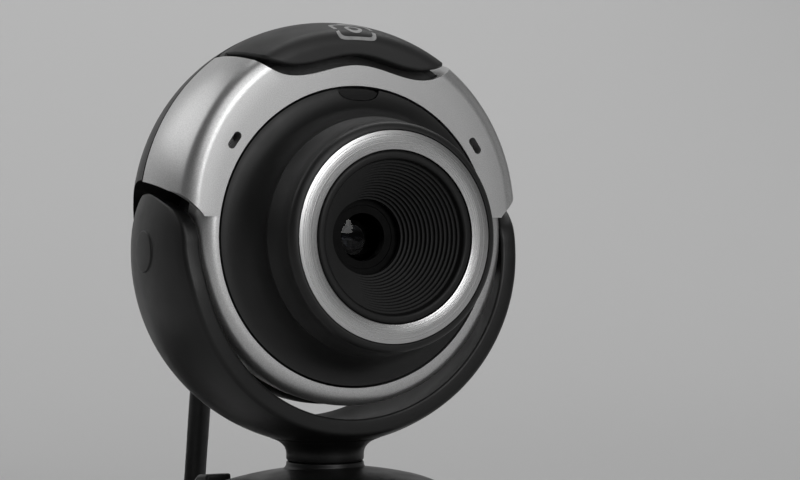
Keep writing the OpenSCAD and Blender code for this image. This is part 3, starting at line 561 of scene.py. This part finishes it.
# ---------------------------------------------------------------- rear shell
# The back of the head is one deep black moulding with a satin skin. It reaches forward as a liner inside the
# silver cap, and ends below in the ball that sits between the fork's arms.
LINER = WALL + 0.05
shell_outline = ([(0, 7.9), (20, 7.9)] + [p for p in dome_front(LINER) if p[1] < 7.9]
                 + [(SIDE - LINER, -SEAM - 0.25), (SIDE - 0.3, -SEAM - 0.25)]
                 + dome_back(0, seam_angle(SEAM + 0.45), 90, 30))
rear = turned("rear_cover", shell_outline, HEAD)
cut(rear, prism("notch", notch_outline(0.2), -40, 40))
ball = turned("ball", [(0, 21.6)] + arc(0, 0, 21.6, 88, -88, 60) + [(0, -21.6)], PIVOT)
cut(ball, prism("front_cut", [(-60, 20), (-60, 80), (-4.6, 80), (-4.6, 20)], -40, 40))
cut(rear, ball, "UNION")
tidy(rear, 35)

satin = Finish("satin_black", grey(0.008), 0.4, Specular_IOR_Level=0.4)
satin.set("Roughness", satin.spread(satin.noise(260, 3), 0.37, 0.45))
satin.bump(satin.noise(5200, 2), 0.000012)
coat(rear, satin)
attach(rear, "head")
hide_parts("rear_shell")


# ---------------------------------------------------------------- dish
# The lens housing: a deep black flare from the silver down and forward to the focus ring, with a fine dark
# gap round its rim and a half-round window for the indicator at the top.
DISH, BARREL_R, BARREL_D = 20.75, 16.25, 15.85


def flare(count=22):
    outline = []
    for k in range(count + 1):
        a = math.radians(90 - 90 * k / count)
        outline.append((DISH - 0.32 - (DISH - 0.32 - BARREL_R) * math.cos(a),
                        BARREL_D - (BARREL_D - 10.5) * math.sin(a)))
    return outline


dish_outline = ([(DISH - 0.3, 4.6), (DISH - 0.3, 10.2), (DISH - 0.36, 10.42)] + flare()
                + [(BARREL_R - 0.08, BARREL_D + 0.02), (BARREL_R - 0.2, BARREL_D - 0.12),
                   (BARREL_R - 0.4, BARREL_D - 1.5), (BARREL_R - 0.4, 4.6), (DISH - 0.3, 4.6)])
dish = turned("lens_dish", dish_outline, AXIS)
window_hole = []
for k in range(33):
    a = math.pi + math.pi * k / 32
    window_hole.append((3.15 * math.copysign(abs(math.cos(a)) ** 0.8, math.cos(a)),
                        AXIS + 20.3 - 1.65 * abs(math.sin(a)) ** 0.8))
window_hole = window_hole + [(3.15, AXIS + 22), (-3.15, AXIS + 22)]
cut(dish, prism("window_hole", window_hole, -14, -9.4, "Y"))
tidy(dish, 35)
moulded = Finish("moulded_black", grey(0.01), 0.42, Specular_IOR_Level=0.45)
moulded.set("Roughness", moulded.spread(moulded.noise(300, 3), 0.4, 0.47))
moulded.bump(moulded.noise(5200, 2), 0.00001)
coat(dish, moulded)
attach(dish, "head")
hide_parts("lens_housing")


# ---------------------------------------------------------------- indicator window
# A smoked clear half-moon let into the top of the dish, a hair below its surface.
window_outline = [(15.0, 9.5), (DISH - 0.5, 9.5)] + [(r, d - 0.12) for r, d in flare()[1:14]] + [(15.0, 9.5)]
window = turned("indicator_lens", window_outline, AXIS)
inner_window = [(x * 0.95, z if z > AXIS + 21 else AXIS + 20.25 - (AXIS + 20.25 - z) * 0.93) for x, z in window_hole]
cut(window, prism("window_shape", inner_window, -14, -9.0, "Y"), "INTERSECT")
tidy(window, 35)
smoked = Finish("smoked_clear", grey(0.02), 0.12, Coat_Weight=0.6, Coat_Roughness=0.06)
smoked.set("Roughness", smoked.spread(smoked.noise(200), 0.1, 0.18))
coat(window, smoked)
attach(window, "head")
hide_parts("led_window")


# ---------------------------------------------------------------- snapshot button
# A soft-touch black cap that follows the dome. Its lower edge waves, its rim rolls over, and a plain camera
# sign is printed near its front.
def cap_profile(run, out):
    """A spot on the cap's section, at this distance along it from the end of the flat face."""
    depth = FACE - ROUND
    reach = math.sqrt((SIDE - ROUND) ** 2 - depth ** 2)
    turn = math.atan2(depth, reach)
    corner = ROUND * (math.pi / 2 - turn)
    if run < 0:
        return reach + run, FACE + out
    if run < corner:
        a = math.pi / 2 - run / ROUND
        return reach + (ROUND + out) * math.cos(a), depth + (ROUND + out) * math.sin(a)
    a = turn - (run - corner) / SIDE
    return (SIDE + out) * math.cos(a), (SIDE + out) * math.sin(a)


TIP = 15.75


def button_spot(u, v, sink):
    """A spot on the button: u from tip to tip, v from the front edge to the back, sunk below the skin."""
    x = TIP * u
    depth = FACE - ROUND
    reach = math.sqrt((SIDE - ROUND) ** 2 - depth ** 2)
    turn = math.atan2(depth, reach)
    corner = ROUND * (math.pi / 2 - turn)
    rho = min(math.hypot(x, button_edge(x)), SIDE - 0.01)
    if rho < reach:
        first = rho - reach
    elif rho < reach + ROUND * math.cos(turn):
        first = ROUND * (math.pi / 2 - math.acos((rho - reach) / ROUND))
    else:
        first = corner + SIDE * (turn - math.acos(rho / SIDE))
    last = corner + SIDE * (turn + math.asin((SEAM - 0.35) / SIDE))
    rho, depth = cap_profile(first + (last - first) * v, 0.03 - sink)
    return Vector((x, -depth, HEAD + math.sqrt(max(0.0, rho * rho - x * x)))) * MM


ROLL = 0.3
rows, columns = 44, 120


def station(j):
    """Places the cap's columns from tip to tip, closer together at the tips."""
    return 0.55 * -math.cos(math.pi * j / columns) + 0.45 * (2 * j / columns - 1)


button_loops = []
for i in range(rows + 1):
    v = i / rows
    button_loops.append(0.45 * v + 0.55 * (0.5 - 0.5 * math.cos(math.pi * v)))
grid = []
for v in button_loops:
    line = []
    for j in range(columns + 1):
        u = station(j)
        here = button_spot(u, v, 0)
        to_edge = min((here - button_spot(u, 0, 0)).length, (here - button_spot(u, 1, 0)).length,
                      (here - button_spot(-1, v, 0)).length, (here - button_spot(1, v, 0)).length) / MM
        sink = 0.0
        if to_edge < ROLL:
            sink = ROLL - math.sqrt(max(0.0, ROLL ** 2 - (ROLL - to_edge) ** 2))
        line.append(button_spot(u, v, sink))
    grid.append(line)
spots = [p for line in grid for p in line]
wide = columns + 1
faces = [(i * wide + j, i * wide + j + 1, (i + 1) * wide + j + 1, (i + 1) * wide + j)
         for i in range(rows) for j in range(columns)]
rim = ([(0, j) for j in range(columns)] + [(i, columns) for i in range(rows)]
       + [(rows, j) for j in range(columns, 0, -1)] + [(i, 0) for i in range(rows, 0, -1)])
rim_start = len(spots)
for i, j in rim:
    v = button_loops[i]
    u = station(j)
    ahead = 1 - min(1, 1.15 * v)
    spots.append(button_spot(u, v, ROLL + 2.2 * (1 - ahead)) + Vector((0, 2.6 * ahead, 0)) * MM)
for k in range(len(rim)):
    (i, j), (m, n) = rim[k], rim[(k + 1) % len(rim)]
    faces.append((i * wide + j, m * wide + n, rim_start + (k + 1) % len(rim), rim_start + k))
faces.append(tuple(range(rim_start, rim_start + len(rim))))
button_mesh = bpy.data.meshes.new("button_cap")
button_mesh.from_pydata(spots, [], faces)
button = bpy.data.objects.new("button_cap", button_mesh)
bpy.context.collection.objects.link(button)
tidy(button, 60)
soft_touch = Finish("soft_touch_black", grey(0.016), 0.5)
soft_touch.set("Roughness", soft_touch.spread(soft_touch.noise(240, 3), 0.46, 0.54))
soft_touch.bump(soft_touch.noise(4800, 2), 0.000012)
coat(button, soft_touch)
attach(button, "button")
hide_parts("snapshot_button")

# The printed sign: a rounded camera body with a lens ring, laid over the soft corner as a thin film of paint.
sign_parts = []


def film(name, outline_outer, outline_inner):
    """A thin painted band between two outlines of (x, distance along the cap's section)."""
    rings = []
    for inset, lift in ((0, -0.04), (0, 0.05), (1, 0.05), (1, -0.04)):
        loop = []
        for x, run in (outline_inner if inset else outline_outer):
            rho, depth = cap_profile(run, lift)
            loop.append(Vector((x, -depth, HEAD + math.sqrt(rho * rho - x * x))) * MM)
        rings.append(loop)
    rings.append(rings[0])
    return skinned(name, rings, capped=False)


def squarish(cx, cy, half_w, half_h, power, count=72):
    loop = []
    for k in range(count):
        a = math.tau * k / count
        c, s = math.cos(a), math.sin(a)
        loop.append((cx + half_w * math.copysign(abs(c) ** (2 / power), c),
                     cy + half_h * math.copysign(abs(s) ** (2 / power), s)))
    return loop


sign_parts.append(film("sign_body", squarish(0, 3.2, 3.0, 2.5, 6), squarish(0, 3.2, 2.5, 2.0, 6)))
sign_parts.append(film("sign_lens", squarish(0, 3.1, 1.25, 1.25, 2), squarish(0, 3.1, 0.7, 0.7, 2)))
sign_parts.append(film("sign_hood", squarish(0, 6.0, 1.1, 0.4, 4), squarish(0, 5.9, 0.1, 0.05, 4)))
sign = join("button_sign", *sign_parts)
print_grey = Finish("printed_grey", grey(0.42), 0.5)
ink = print_grey.spread(print_grey.noise(1800, 3), 0, 1)
print_grey.set("Base Color", print_grey.tint(ink, grey(0.34), grey(0.46)))
coat(sign, print_grey)
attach(sign, "button")
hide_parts("button_mark")


# ---------------------------------------------------------------- focus ring
# The turning barrel in front of the dish: a short black tube with a slightly hollow flank and a round rim.
TRIM = 21.6
barrel_outline = ([(BARREL_R - 0.5, BARREL_D - 2), (BARREL_R - 0.2, BARREL_D + 0.02),
                   (BARREL_R - 0.06, BARREL_D + 0.1), (BARREL_R + 0.0, BARREL_D + 0.22)]
                  + [(BARREL_R - 0.85 * t - 0.28 * math.sin(math.pi * t), BARREL_D + 0.22 + 4.4 * t)
                     for t in [k / 14 for k in range(1, 15)]]
                  + arc(14.35, TRIM - 1.02, 1.07, 5, 92, 12)
                  + [(14.27, TRIM - 0.12), (14.27, TRIM - 1.4), (11.5, TRIM - 1.4), (11.5, TRIM - 6),
                     (BARREL_R - 0.5, BARREL_D - 2)])
barrel = turned("focus_barrel", barrel_outline, AXIS)
coat(barrel, moulded)
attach(barrel, "focus")
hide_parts("focus_ring")


# ---------------------------------------------------------------- trim ring
# A flat ring of aluminium, brushed while turning, so that light draws two bright wedges across it.
trim_outline = [(11.6, TRIM - 1.3), (14.22, TRIM - 1.3), (14.22, TRIM - 0.14), (14.17, TRIM - 0.03), (14.08, TRIM),
                (11.74, TRIM), (11.65, TRIM - 0.03), (11.6, TRIM - 0.14), (11.6, TRIM - 1.3)]
trim = turned("trim_face", trim_outline, AXIS, steps=240, smooth=30)
brushed = Finish("turned_aluminium", grey(0.6), 0.3, 1.0)
axes = brushed.add("ShaderNodeSeparateXYZ", None, brushed.place())
across, up = axes["X"], axes["Z"] - AXIS * MM
radius = (across * across + up * up) ** 0.5
groove_at = brushed.add("ShaderNodeCombineXYZ", None, radius)
grooves = brushed.noise(9000, 1, groove_at)
brushed.set("Roughness", brushed.spread(grooves, 0.24, 0.34))
brushed.bump(grooves, 0.00003, 1.0)
coat(trim, brushed)
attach(trim, "focus")
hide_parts("trim_ring")


# ---------------------------------------------------------------- lens cone
# The stepped black funnel that keeps stray light off the lens: a rounded lip, then fourteen fine steps down
# to the hole in front of the lens cell.
lip = ([(11.52, TRIM - 3), (11.52, TRIM - 0.35)] + arc(11.1, TRIM - 0.35, 0.4, 0, 90, 6)
       + arc(10.75, TRIM - 0.35, 0.4, 90, 170, 6))
steps = []
for i in range(14):
    r0 = 10.3 - 5.1 * i / 14
    d0, d1 = TRIM - 0.5 - 8.0 * i / 14, TRIM - 0.5 - 8.0 * (i + 1) / 14
    steps += [(r0, d0), (r0 - 0.03, d1 + 0.1), (r0 - 0.1, d1 + 0.02)]
cone_outline = lip + steps + [(5.2, 13.1), (5.2, 12.4), (7.4, 12.4), (7.4, 13.4), (11.52, TRIM - 3)]
cone = turned("lens_funnel", cone_outline, AXIS, steps=220, smooth=30)
matt = Finish("matt_black", grey(0.006), 0.45, Specular_IOR_Level=0.35)
matt.set("Roughness", matt.spread(matt.noise(400, 3), 0.42, 0.5))
matt.bump(matt.noise(4200, 2), 0.00001)
coat(cone, matt)
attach(cone, "focus")
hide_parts("baffle_cone")


# ---------------------------------------------------------------- fork
# A black band bent round the head, part of a hollow ball, with rounded arm ends. It stands on a short round neck.
IN_R, OUT_R = 25.15, 27.4


def band_section(bearing, front, back, sink):
    """A rounded bar across the band, at this bearing from straight down."""
    mid = Vector((math.sin(bearing), 0, -math.cos(bearing)))
    half = (back + front) / 2
    ease = min(0.5, half * 0.8)
    loop = []

    def spot(radial, y):
        level = math.sqrt(max(0.0, radial * radial - y * y))
        loop.append((Vector((0, y, PIVOT)) + mid * level) * MM)

    inner, outer = IN_R + sink * 0.8, OUT_R - sink
    bits = 5
    for k in range(13):
        spot(outer, -front + ease + (2 * half - 2 * ease) * k / 12)
    for k in range(1, bits + 1):
        a = math.pi / 2 * k / bits
        spot(outer - ease * (1 - math.cos(a)), back - ease * (1 - math.sin(a)))
    for k in range(bits + 1):
        a = math.pi / 2 * k / bits
        spot(inner + ease * (1 - math.sin(a)), back - ease * (1 - math.cos(a)))
    for k in range(1, 12):
        spot(inner, back - ease - (2 * half - 2 * ease) * k / 12)
    for k in range(bits + 1):
        a = math.pi / 2 * k / bits
        spot(inner + ease * (1 - math.cos(a)), -front + ease * (1 - math.sin(a)))
    for k in range(bits):
        a = math.pi / 2 * k / bits
        spot(outer - ease * (1 - math.sin(a)), -front + ease * (1 - math.cos(a)))
    return loop


MIDDLE = (IN_R + OUT_R) / 2
# Front and back edges of the band, from its lowest point up: (height over the tilt axis, reach in front, reach behind).
BAND = [(-26.3, 10.5, 8.2), (-22, 10.7, 8.2), (-17, 10.95, 8.2), (-12, 11.05, 8.2), (-8, 11.0, 8.2),
        (-5.5, 10.88, 8.2), (-3.7, 10.7, 8.2),
        (-1.3, 10.35, 8.2), (0.3, 10.12, 8.2), (2.2, 9.9, 8.1), (3.6, 9.4, 7.8), (4.8, 8.3, 7.2), (5.7, 7.0, 6.5),
        (6.55, 4.4, 5.7), (7.2, 1.8, 4.9), (7.55, -0.2, 4.2), (7.72, -1.5, 3.4), (7.75, -2.3, 2.7)]
edges = flowing([Vector(p) for p in BAND], 0.25)
half_band = []
for k in range(52, 0, -1):
    bearing = math.radians(80) * (1 - k / 52)
    z = -MIDDLE * math.cos(bearing)
    near = min(edges, key=lambda p: abs(p.x - z))
    half_band.append((bearing, near.y, near.z, 0.0))
for z, front, back in [tuple(p) for p in edges if p.x > -MIDDLE * math.cos(math.radians(80)) + 0.1]:
    near_tip = max(0.0, (z - 7.35) / 0.4)
    sink = 0.35 * (1 - math.sqrt(max(0.0, 1 - min(1, near_tip) ** 2)))
    half_band.append((math.pi / 2 + math.asin(z / MIDDLE), front, back, sink))
fork_loops = ([band_section(-b, f, r, s) for b, f, r, s in reversed(half_band[1:])]
              + [band_section(b, f, r, s) for b, f, r, s in half_band])
fork_band = skinned("fork_band", fork_loops, smooth=50)


def upright(name, outline, steps=120, smooth=40):
    """Turns an outline of (radius, height) round the swivel axis."""
    bpy.ops.object.select_all(action="DESELECT")
    bpy.ops.mesh.primitive_plane_add(size=0.001, location=(0, 0, 0))
    piece = bpy.context.object
    piece.name = name
    bpy.ops.object.mode_set(mode="EDIT")
    bpy.ops.mesh.merge(type="CENTER")
    spots = [Vector((r, 0, z)) * MM for r, z in outline]
    bpy.ops.transform.translate(value=spots[0])
    for a, b in zip(spots, spots[1:]):
        bpy.ops.mesh.extrude_region_move(TRANSFORM_OT_translate={"value": b - a})
    bpy.ops.mesh.select_all(action="SELECT")
    bpy.ops.mesh.spin(steps=steps, angle=math.tau, center=(0, 0, 0), axis=(0, 0, 1))
    bpy.ops.object.mode_set(mode="OBJECT")
    tidy(piece, smooth)
    return piece


neck = upright("neck", [(0, 20.42), (5.1, 20.42), (5.38, 20.5), (5.5, 20.7), (5.5, 21.4), (5.56, 21.85),
                        (5.75, 22.3), (6.1, 22.75), (6.6, 23.15), (7.2, 23.45), (7.9, 23.72),
                         (8.2, 24.2), (8.2, 24.8), (0, 24.8)])
arm_fork = join("fork_frame", fork_band, neck)
coat(arm_fork, satin)
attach(arm_fork, "stand")
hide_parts("fork")


# ---------------------------------------------------------------- pivot caps
# Each tilt pin ends in a round black cap, set flush in the arm with a fine groove round it.
caps = []
for side in (-1, 1):
    bpy.ops.object.select_all(action="DESELECT")
    bpy.ops.mesh.primitive_cylinder_add(vertices=64, radius=2.9 * MM, depth=1.2 * MM,
                                        location=(side * 26.85 * MM, 0, PIVOT * MM), rotation=(0, math.pi / 2, 0))
    cap = bpy.context.object
    bpy.ops.object.transform_apply(location=True, rotation=True, scale=True)
    round_edges(cap, 0.25, 3)
    caps.append(cap)
pins = coat(join("pin_caps", *caps), moulded)
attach(pins, "stand")
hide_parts("pivot_pins")


# ---------------------------------------------------------------- base
# An arched black strip that stands on a desk or hangs over a screen's edge. Its top is gently crowned and
# flows up into a round collar under the neck. The front end is a lip, the back end holds the leg's hinge.
BASE_TOP, BASE_W = 19.8, 12.5
ARCH = 70.0


def arch_height(y):
    return BASE_TOP - ARCH + math.sqrt(ARCH ** 2 - (y + 4) ** 2)


# The lip, as (behind the swivel axis, height, tilt), from its foot up to the arch.
spine = [(-23.6, 1.25, 180), (-23.9, 3.5, 178), (-23.9, 6.5, 172), (-23.4, 9.5, 164), (-22.4, 12.2, 152),
         (-20.9, 14.4, 132), (-18.9, 15.9, 112)]
strip_loops = []


def strip_section(y, z, tilt, half_w, thick, crown=1.6):
    """A crowned bar across the strip. Tilt 90 points its top straight up; 180 points it to the front."""
    a = math.radians(tilt)
    up = Vector((0, math.cos(a), math.sin(a)))
    loop = []
    ease = 1.1
    for k in range(25):
        x = -half_w + ease + (2 * half_w - 2 * ease) * k / 24
        loop.append((Vector((x, y, z)) - up * crown * (x / half_w) ** 2) * MM)
    for k in range(1, 7):
        b = math.pi / 2 * k / 6
        sunk = crown * ((half_w - ease) / half_w) ** 2 + 0.25 * k / 6 + ease * (1 - math.cos(b))
        loop.append((Vector((half_w - ease + ease * math.sin(b), y, z)) - up * sunk) * MM)
    for k in range(7):
        b = math.pi / 2 * k / 6
        loop.append((Vector((half_w - 0.5 * (1 - math.cos(b)), y, z)) - up * (thick - 0.5 + 0.5 * math.sin(b))) * MM)
    for k in range(1, 12):
        loop.append((Vector((half_w - 0.5 - (2 * half_w - 1) * k / 12, y, z)) - up * thick) * MM)
    for k in range(7):
        b = math.pi / 2 * (1 - k / 6)
        loop.append((Vector((-half_w + 0.5 * (1 - math.cos(b)), y, z)) - up * (thick - 0.5 + 0.5 * math.sin(b))) * MM)
    for k in range(6):
        b = math.pi / 2 * (1 - k / 6)
        sunk = crown * ((half_w - ease) / half_w) ** 2 + 0.25 * (1 - k / 6) + ease * (1 - math.cos(b))
        loop.append((Vector((-half_w + ease - ease * math.sin(b), y, z)) - up * sunk) * MM)
    return loop


for y, z, tilt in spine:
    strip_loops.append(strip_section(y, z, tilt, BASE_W - 0.4, 3.6, 0.8))
for k in range(45):
    y = -17.6 + (14.5 + 17.6) * k / 44
    lean = 90 - math.degrees(math.asin((y + 4) / ARCH)) + max(0.0, (-14 - y)) * 3.2
    strip_loops.append(strip_section(y, arch_height(y) - max(0.0, -14.5 - y) ** 1.6 * 0.16, lean, BASE_W, 4.4, 1.6))
strip_loops.append(strip_section(16.0, arch_height(16.0) - 0.3, 74, BASE_W - 0.1, 4.4, 1.5))
strip_loops.append(strip_section(17.2, arch_height(17.2) - 0.9, 66, BASE_W - 0.3, 4.2, 1.4))
base_strip = skinned("base_strip", strip_loops, smooth=50)
collar = upright("collar", [(0, 20.36), (5.2, 20.36), (5.42, 20.28), (5.5, 20.1)]
                 + [(5.5 + 2.4 * (1 - math.cos(math.radians(a))), 20.0 - 2.4 * math.sin(math.radians(a)) * 0.55)
                    for a in range(0, 91, 10)]
                 + [(9.2, 18.4), (9.2, 16.5), (0, 16.5)])
pod = block("pod", (-9.5, -13, 8.95), (9.5, 13, 16.6), 0.8)
ears = []
for side in (-1, 1):
    bpy.ops.object.select_all(action="DESELECT")
    bpy.ops.mesh.primitive_cylinder_add(vertices=64, radius=3.25 * MM, depth=4.2 * MM,
                                        location=(side * 10.35 * MM, 20 * MM, 12 * MM), rotation=(0, math.pi / 2, 0))
    ear = bpy.context.object
    bpy.ops.object.transform_apply(location=True, rotation=True, scale=True)
    round_edges(ear, 0.5, 3)
    ears.append(ear)
    web = prism("web", [(14.0, 17.6), (17.5, 17.2), (20.6, 15.2), (20.0, 9.2), (16.8, 11.2), (14.0, 13.4)],
                side * 10.35 - 2.0, side * 10.35 + 2.0)
    round_edges(web, 0.4, 2)
    ears.append(web)
base_body = join("base_arch", base_strip, collar, pod, *ears)
coat(base_body, satin)
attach(base_body, "base")
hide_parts("base_hub")


# ---------------------------------------------------------------- rear leg
# The folding leg behind: a tapered black plate with a knuckle between the base's ears, and a foot turned flat.
leg_plate = prism("leg_plate", [(20.0, 14.9), (22.5, 14.4), (24.6, 12.6), (33.0, 4.2), (34.0, 2.6),
                                (34.0, 1.2), (27.6, 1.2), (26.6, 2.6), (21.2, 9.2), (20.0, 9.3)], -8, 8)
round_edges(leg_plate, 0.7, 4, 20)
knuckles = []
for low, high in ((-8.0, -3.1), (3.1, 8.0)):
    bpy.ops.object.select_all(action="DESELECT")
    bpy.ops.mesh.primitive_cylinder_add(vertices=64, radius=3.2 * MM, depth=(high - low) * MM,
                                        location=((low + high) / 2 * MM, 20 * MM, 12 * MM),
                                        rotation=(0, math.pi / 2, 0))
    knuckle = bpy.context.object
    bpy.ops.object.transform_apply(location=True, rotation=True, scale=True)
    round_edges(knuckle, 0.35, 3)
    knuckles.append(knuckle)
cut(leg_plate, block("sleeve_room", (-3.0, 10, 2), (3.0, 24.0, 22)))
leg = join("folding_leg", leg_plate, *knuckles)
coat(leg, satin)
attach(leg, "leg")
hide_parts("rear_leg")


# ---------------------------------------------------------------- rubber feet
# Soft black pads with fine grip ribs, let into the lip and the leg's foot.
rubber = Finish("foot_rubber", grey(0.02), 0.7)
ribs = rubber.add("ShaderNodeTexWave", {"wave_type": "BANDS", "bands_direction": "X"},
                  Vector=rubber.place(), Scale=240.0)
rubber.bump(ribs, 0.00012, 0.6)
for name, low, high, body, node in (("front_pad", (-11.4, -23.5, 0.02), (11.4, -18.9, 1.5), "base", "front_foot_pad"),
                                    ("rear_pad", (-7.0, 28.1, 0.02), (7.0, 33.4, 1.5), "leg", "leg_foot_pad")):
    pad = coat(block(name, low, high, 0.35), rubber)
    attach(pad, body)
    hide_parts(node)


# ---------------------------------------------------------------- strain relief
# The soft boot where the cord leaves the head: a collar in the shell, then a taper cut by rings that let it bend.
boot_way = Vector((0, math.cos(math.radians(-14)), math.sin(math.radians(-14))))
boot_root = Vector((0, 21.2, 53.7 - 0.35))
boot_loops = []
boot_line = [(-2.6, 4.3), (-2.2, 4.5), (0.2, 4.3), (0.6, 4.0), (0.9, 3.3), (1.6, 3.2)]
for k in range(5):
    start = 1.9 + 2.0 * k
    wide = 3.1 - 0.15 * k
    boot_line += [(start, wide - 0.45), (start + 0.5, wide - 0.45), (start + 0.7, wide), (start + 1.7, wide - 0.08)]
boot_line += [(12.2, 2.35), (12.7, 2.2), (12.9, 1.8)]
for along_boot, wide in boot_line:
    centre = boot_root + boot_way * along_boot
    side, up = Vector((1, 0, 0)), boot_way.cross(Vector((1, 0, 0)))
    boot_loops.append([(centre + wide * (math.cos(math.tau * k / 48) * side + math.sin(math.tau * k / 48) * up)) * MM
                       for k in range(48)])
boot = coat(skinned("cord_boot", boot_loops, smooth=40), grip_finish)
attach(boot, "head")
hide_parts("strain_relief")


# ---------------------------------------------------------------- parts inside
# What lies inside the head and stand keeps its drawn shape and gets the finish of the real part.
steel = Finish("screw_steel", grey(0.5), 0.3, 1.0)
steel.set("Roughness", steel.spread(steel.noise(900, 3), 0.24, 0.4))
steel.bump(steel.noise(3000, 2), 0.000005)
black_steel = Finish("blackened_steel", grey(0.03), 0.4, 0.8)
black_steel.set("Roughness", black_steel.spread(black_steel.noise(900, 3), 0.34, 0.5))
board = Finish("board_green", (0.01, 0.09, 0.04), 0.35)
board.set("Base Color", board.tint(board.spread(board.noise(500, 3), 0, 1), (0.008, 0.075, 0.03), (0.015, 0.12, 0.05)))
chip = Finish("chip_black", grey(0.02), 0.5)
chip.set("Roughness", chip.spread(chip.noise(1500), 0.42, 0.6))
sensor = Finish("sensor_face", (0.01, 0.012, 0.018), 0.2)
sensor.set("Roughness", sensor.spread(sensor.noise(900), 0.16, 0.26))
ivory = Finish("ivory_nylon", (0.7, 0.66, 0.55), 0.45)
ivory.set("Roughness", ivory.spread(ivory.noise(700), 0.4, 0.5))
red = Finish("plunger_red", (0.5, 0.05, 0.03), 0.45)
red.set("Roughness", red.spread(red.noise(700), 0.4, 0.5))
cell_black = Finish("anodised_black", grey(0.002), 0.5, 0.0, Specular_IOR_Level=0.12)
cell_black.set("Roughness", cell_black.spread(cell_black.noise(900), 0.3, 0.42))
glass = Finish("coated_glass", (0.9, 0.93, 1.0), 0.01, Transmission_Weight=1.0, IOR=1.28)
glass.set("Roughness", glass.spread(glass.noise(200), 0.0, 0.02))
lamp_clear = Finish("lamp_clear", (0.8, 0.8, 0.76), 0.15, Transmission_Weight=0.6)
lamp_clear.set("Roughness", lamp_clear.spread(lamp_clear.noise(300), 0.1, 0.2))
gauze = Finish("gauze", grey(0.06), 0.6)
weave = gauze.add("ShaderNodeTexChecker", None, Vector=gauze.place(), Scale=5200.0)["Fac"]
gauze.set("Base Color", gauze.tint(weave, grey(0.03), grey(0.16)))
for finish, names in (
        (steel, ("holder_screws", "board_screws", "swivel_screw", "cover_screws", "swivel_washer",
                 "friction_washers", "hinge_pin", "friction_sleeve", "clock_crystal", "microphone")),
        (black_steel, ("shell_screws",)),
        (board, ("main_board",)),
        (chip, ("controller_chip", "memory_chip", "lens_holder", "snap_switch", "button_carrier")),
        (ivory, ("cord_header", "pivot_bushes")),
        (red, ("switch_plunger",)),
        (cell_black, ("lens_cell", "lens_retainer")),
        (sensor, ("image_sensor",)),
        (glass, ("sensor_glass", "front_lens", "middle_lens", "rear_lens")),
        (lamp_clear, ("status_led",)),
        (rubber, ("microphone_boot", "focus_drag_ring")),
        (gauze, ("slot_gauze",)),
        (satin, ("base_cover",))):
    for node in names:
        coat(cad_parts[node], finish)


# ---------------------------------------------------------------- room
# A pale floor that sweeps up into a backdrop. A large soft lamp stands high in front, a smaller one low in
# front brightens the silver face, one behind on the left lights the shoulder, and one hangs over the backdrop.
def wall_spot(t):
    """A point on the floor's sweep, from in front of the object to the top of the backdrop."""
    if t < 0.3:
        return -1.6 + 1.9 * t / 0.3, 0.0
    if t < 0.7:
        a = math.pi / 2 * (t - 0.3) / 0.4
        return 0.3 + 1.0 * math.sin(a), 1.0 - 1.0 * math.cos(a)
    return 1.3, 1.0 + 1.6 * (t - 0.7) / 0.3


sweep_rows = [wall_spot(k / 60) for k in range(61)]
sweep_mesh = bpy.data.meshes.new("studio_sweep")
sweep_mesh.from_pydata([(x, y, z) for y, z in sweep_rows for x in (-4, 4)], [],
                       [(2 * i, 2 * i + 1, 2 * i + 3, 2 * i + 2) for i in range(60)])
sweep = bpy.data.objects.new("studio_sweep", sweep_mesh)
bpy.context.collection.objects.link(sweep)
alone(sweep)
bpy.ops.object.shade_smooth_by_angle(angle=math.radians(60))
paper = Finish("paper", grey(0.62), 0.85)
coat(sweep, paper)
sweep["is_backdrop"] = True

world = bpy.data.worlds.new("room")
world.use_nodes = True
world.node_tree.nodes["Background"].inputs["Color"].default_value = (0.5, 0.5, 0.5, 1)
world.node_tree.nodes["Background"].inputs["Strength"].default_value = 0.1
bpy.context.scene.world = world


def lamp(name, bearing, height, distance, wide, tall, radiance, aim=(0, 0, 0.052)):
    """A soft lamp. Bearing 0 is straight in front of the lens, and positive bearings lie towards +X."""
    a, e = math.radians(bearing), math.radians(height)
    away = Vector((math.sin(a) * math.cos(e), -math.cos(a) * math.cos(e), math.sin(e)))
    data = bpy.data.lights.new(name, "AREA")
    data.shape = "RECTANGLE"
    data.size, data.size_y = wide, tall
    data.energy = radiance * math.pi * wide * tall
    made = bpy.data.objects.new(name, data)
    made.location = away * distance + Vector(aim)
    made.rotation_mode = "QUATERNION"
    made.rotation_quaternion = (-away).to_track_quat("-Z", "Y")
    bpy.context.collection.objects.link(made)
    return made


lamp("key", -8, 38, 1.2, 1.0, 0.9, 1.25)
lamp("front", 9, 16, 1.2, 0.4, 0.46, 4.0)
lamp("rim", -138, 34, 1.2, 0.9, 0.6, 1.1)
lamp("side", 80, 12, 1.4, 1.2, 1.2, 0.16)
lamp("back", 0, 62, 1.1, 1.4, 0.8, 2.5, aim=(0.5, 1.0, 0.3))
bpy.context.scene.view_settings.view_transform = "Standard"

low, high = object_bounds()
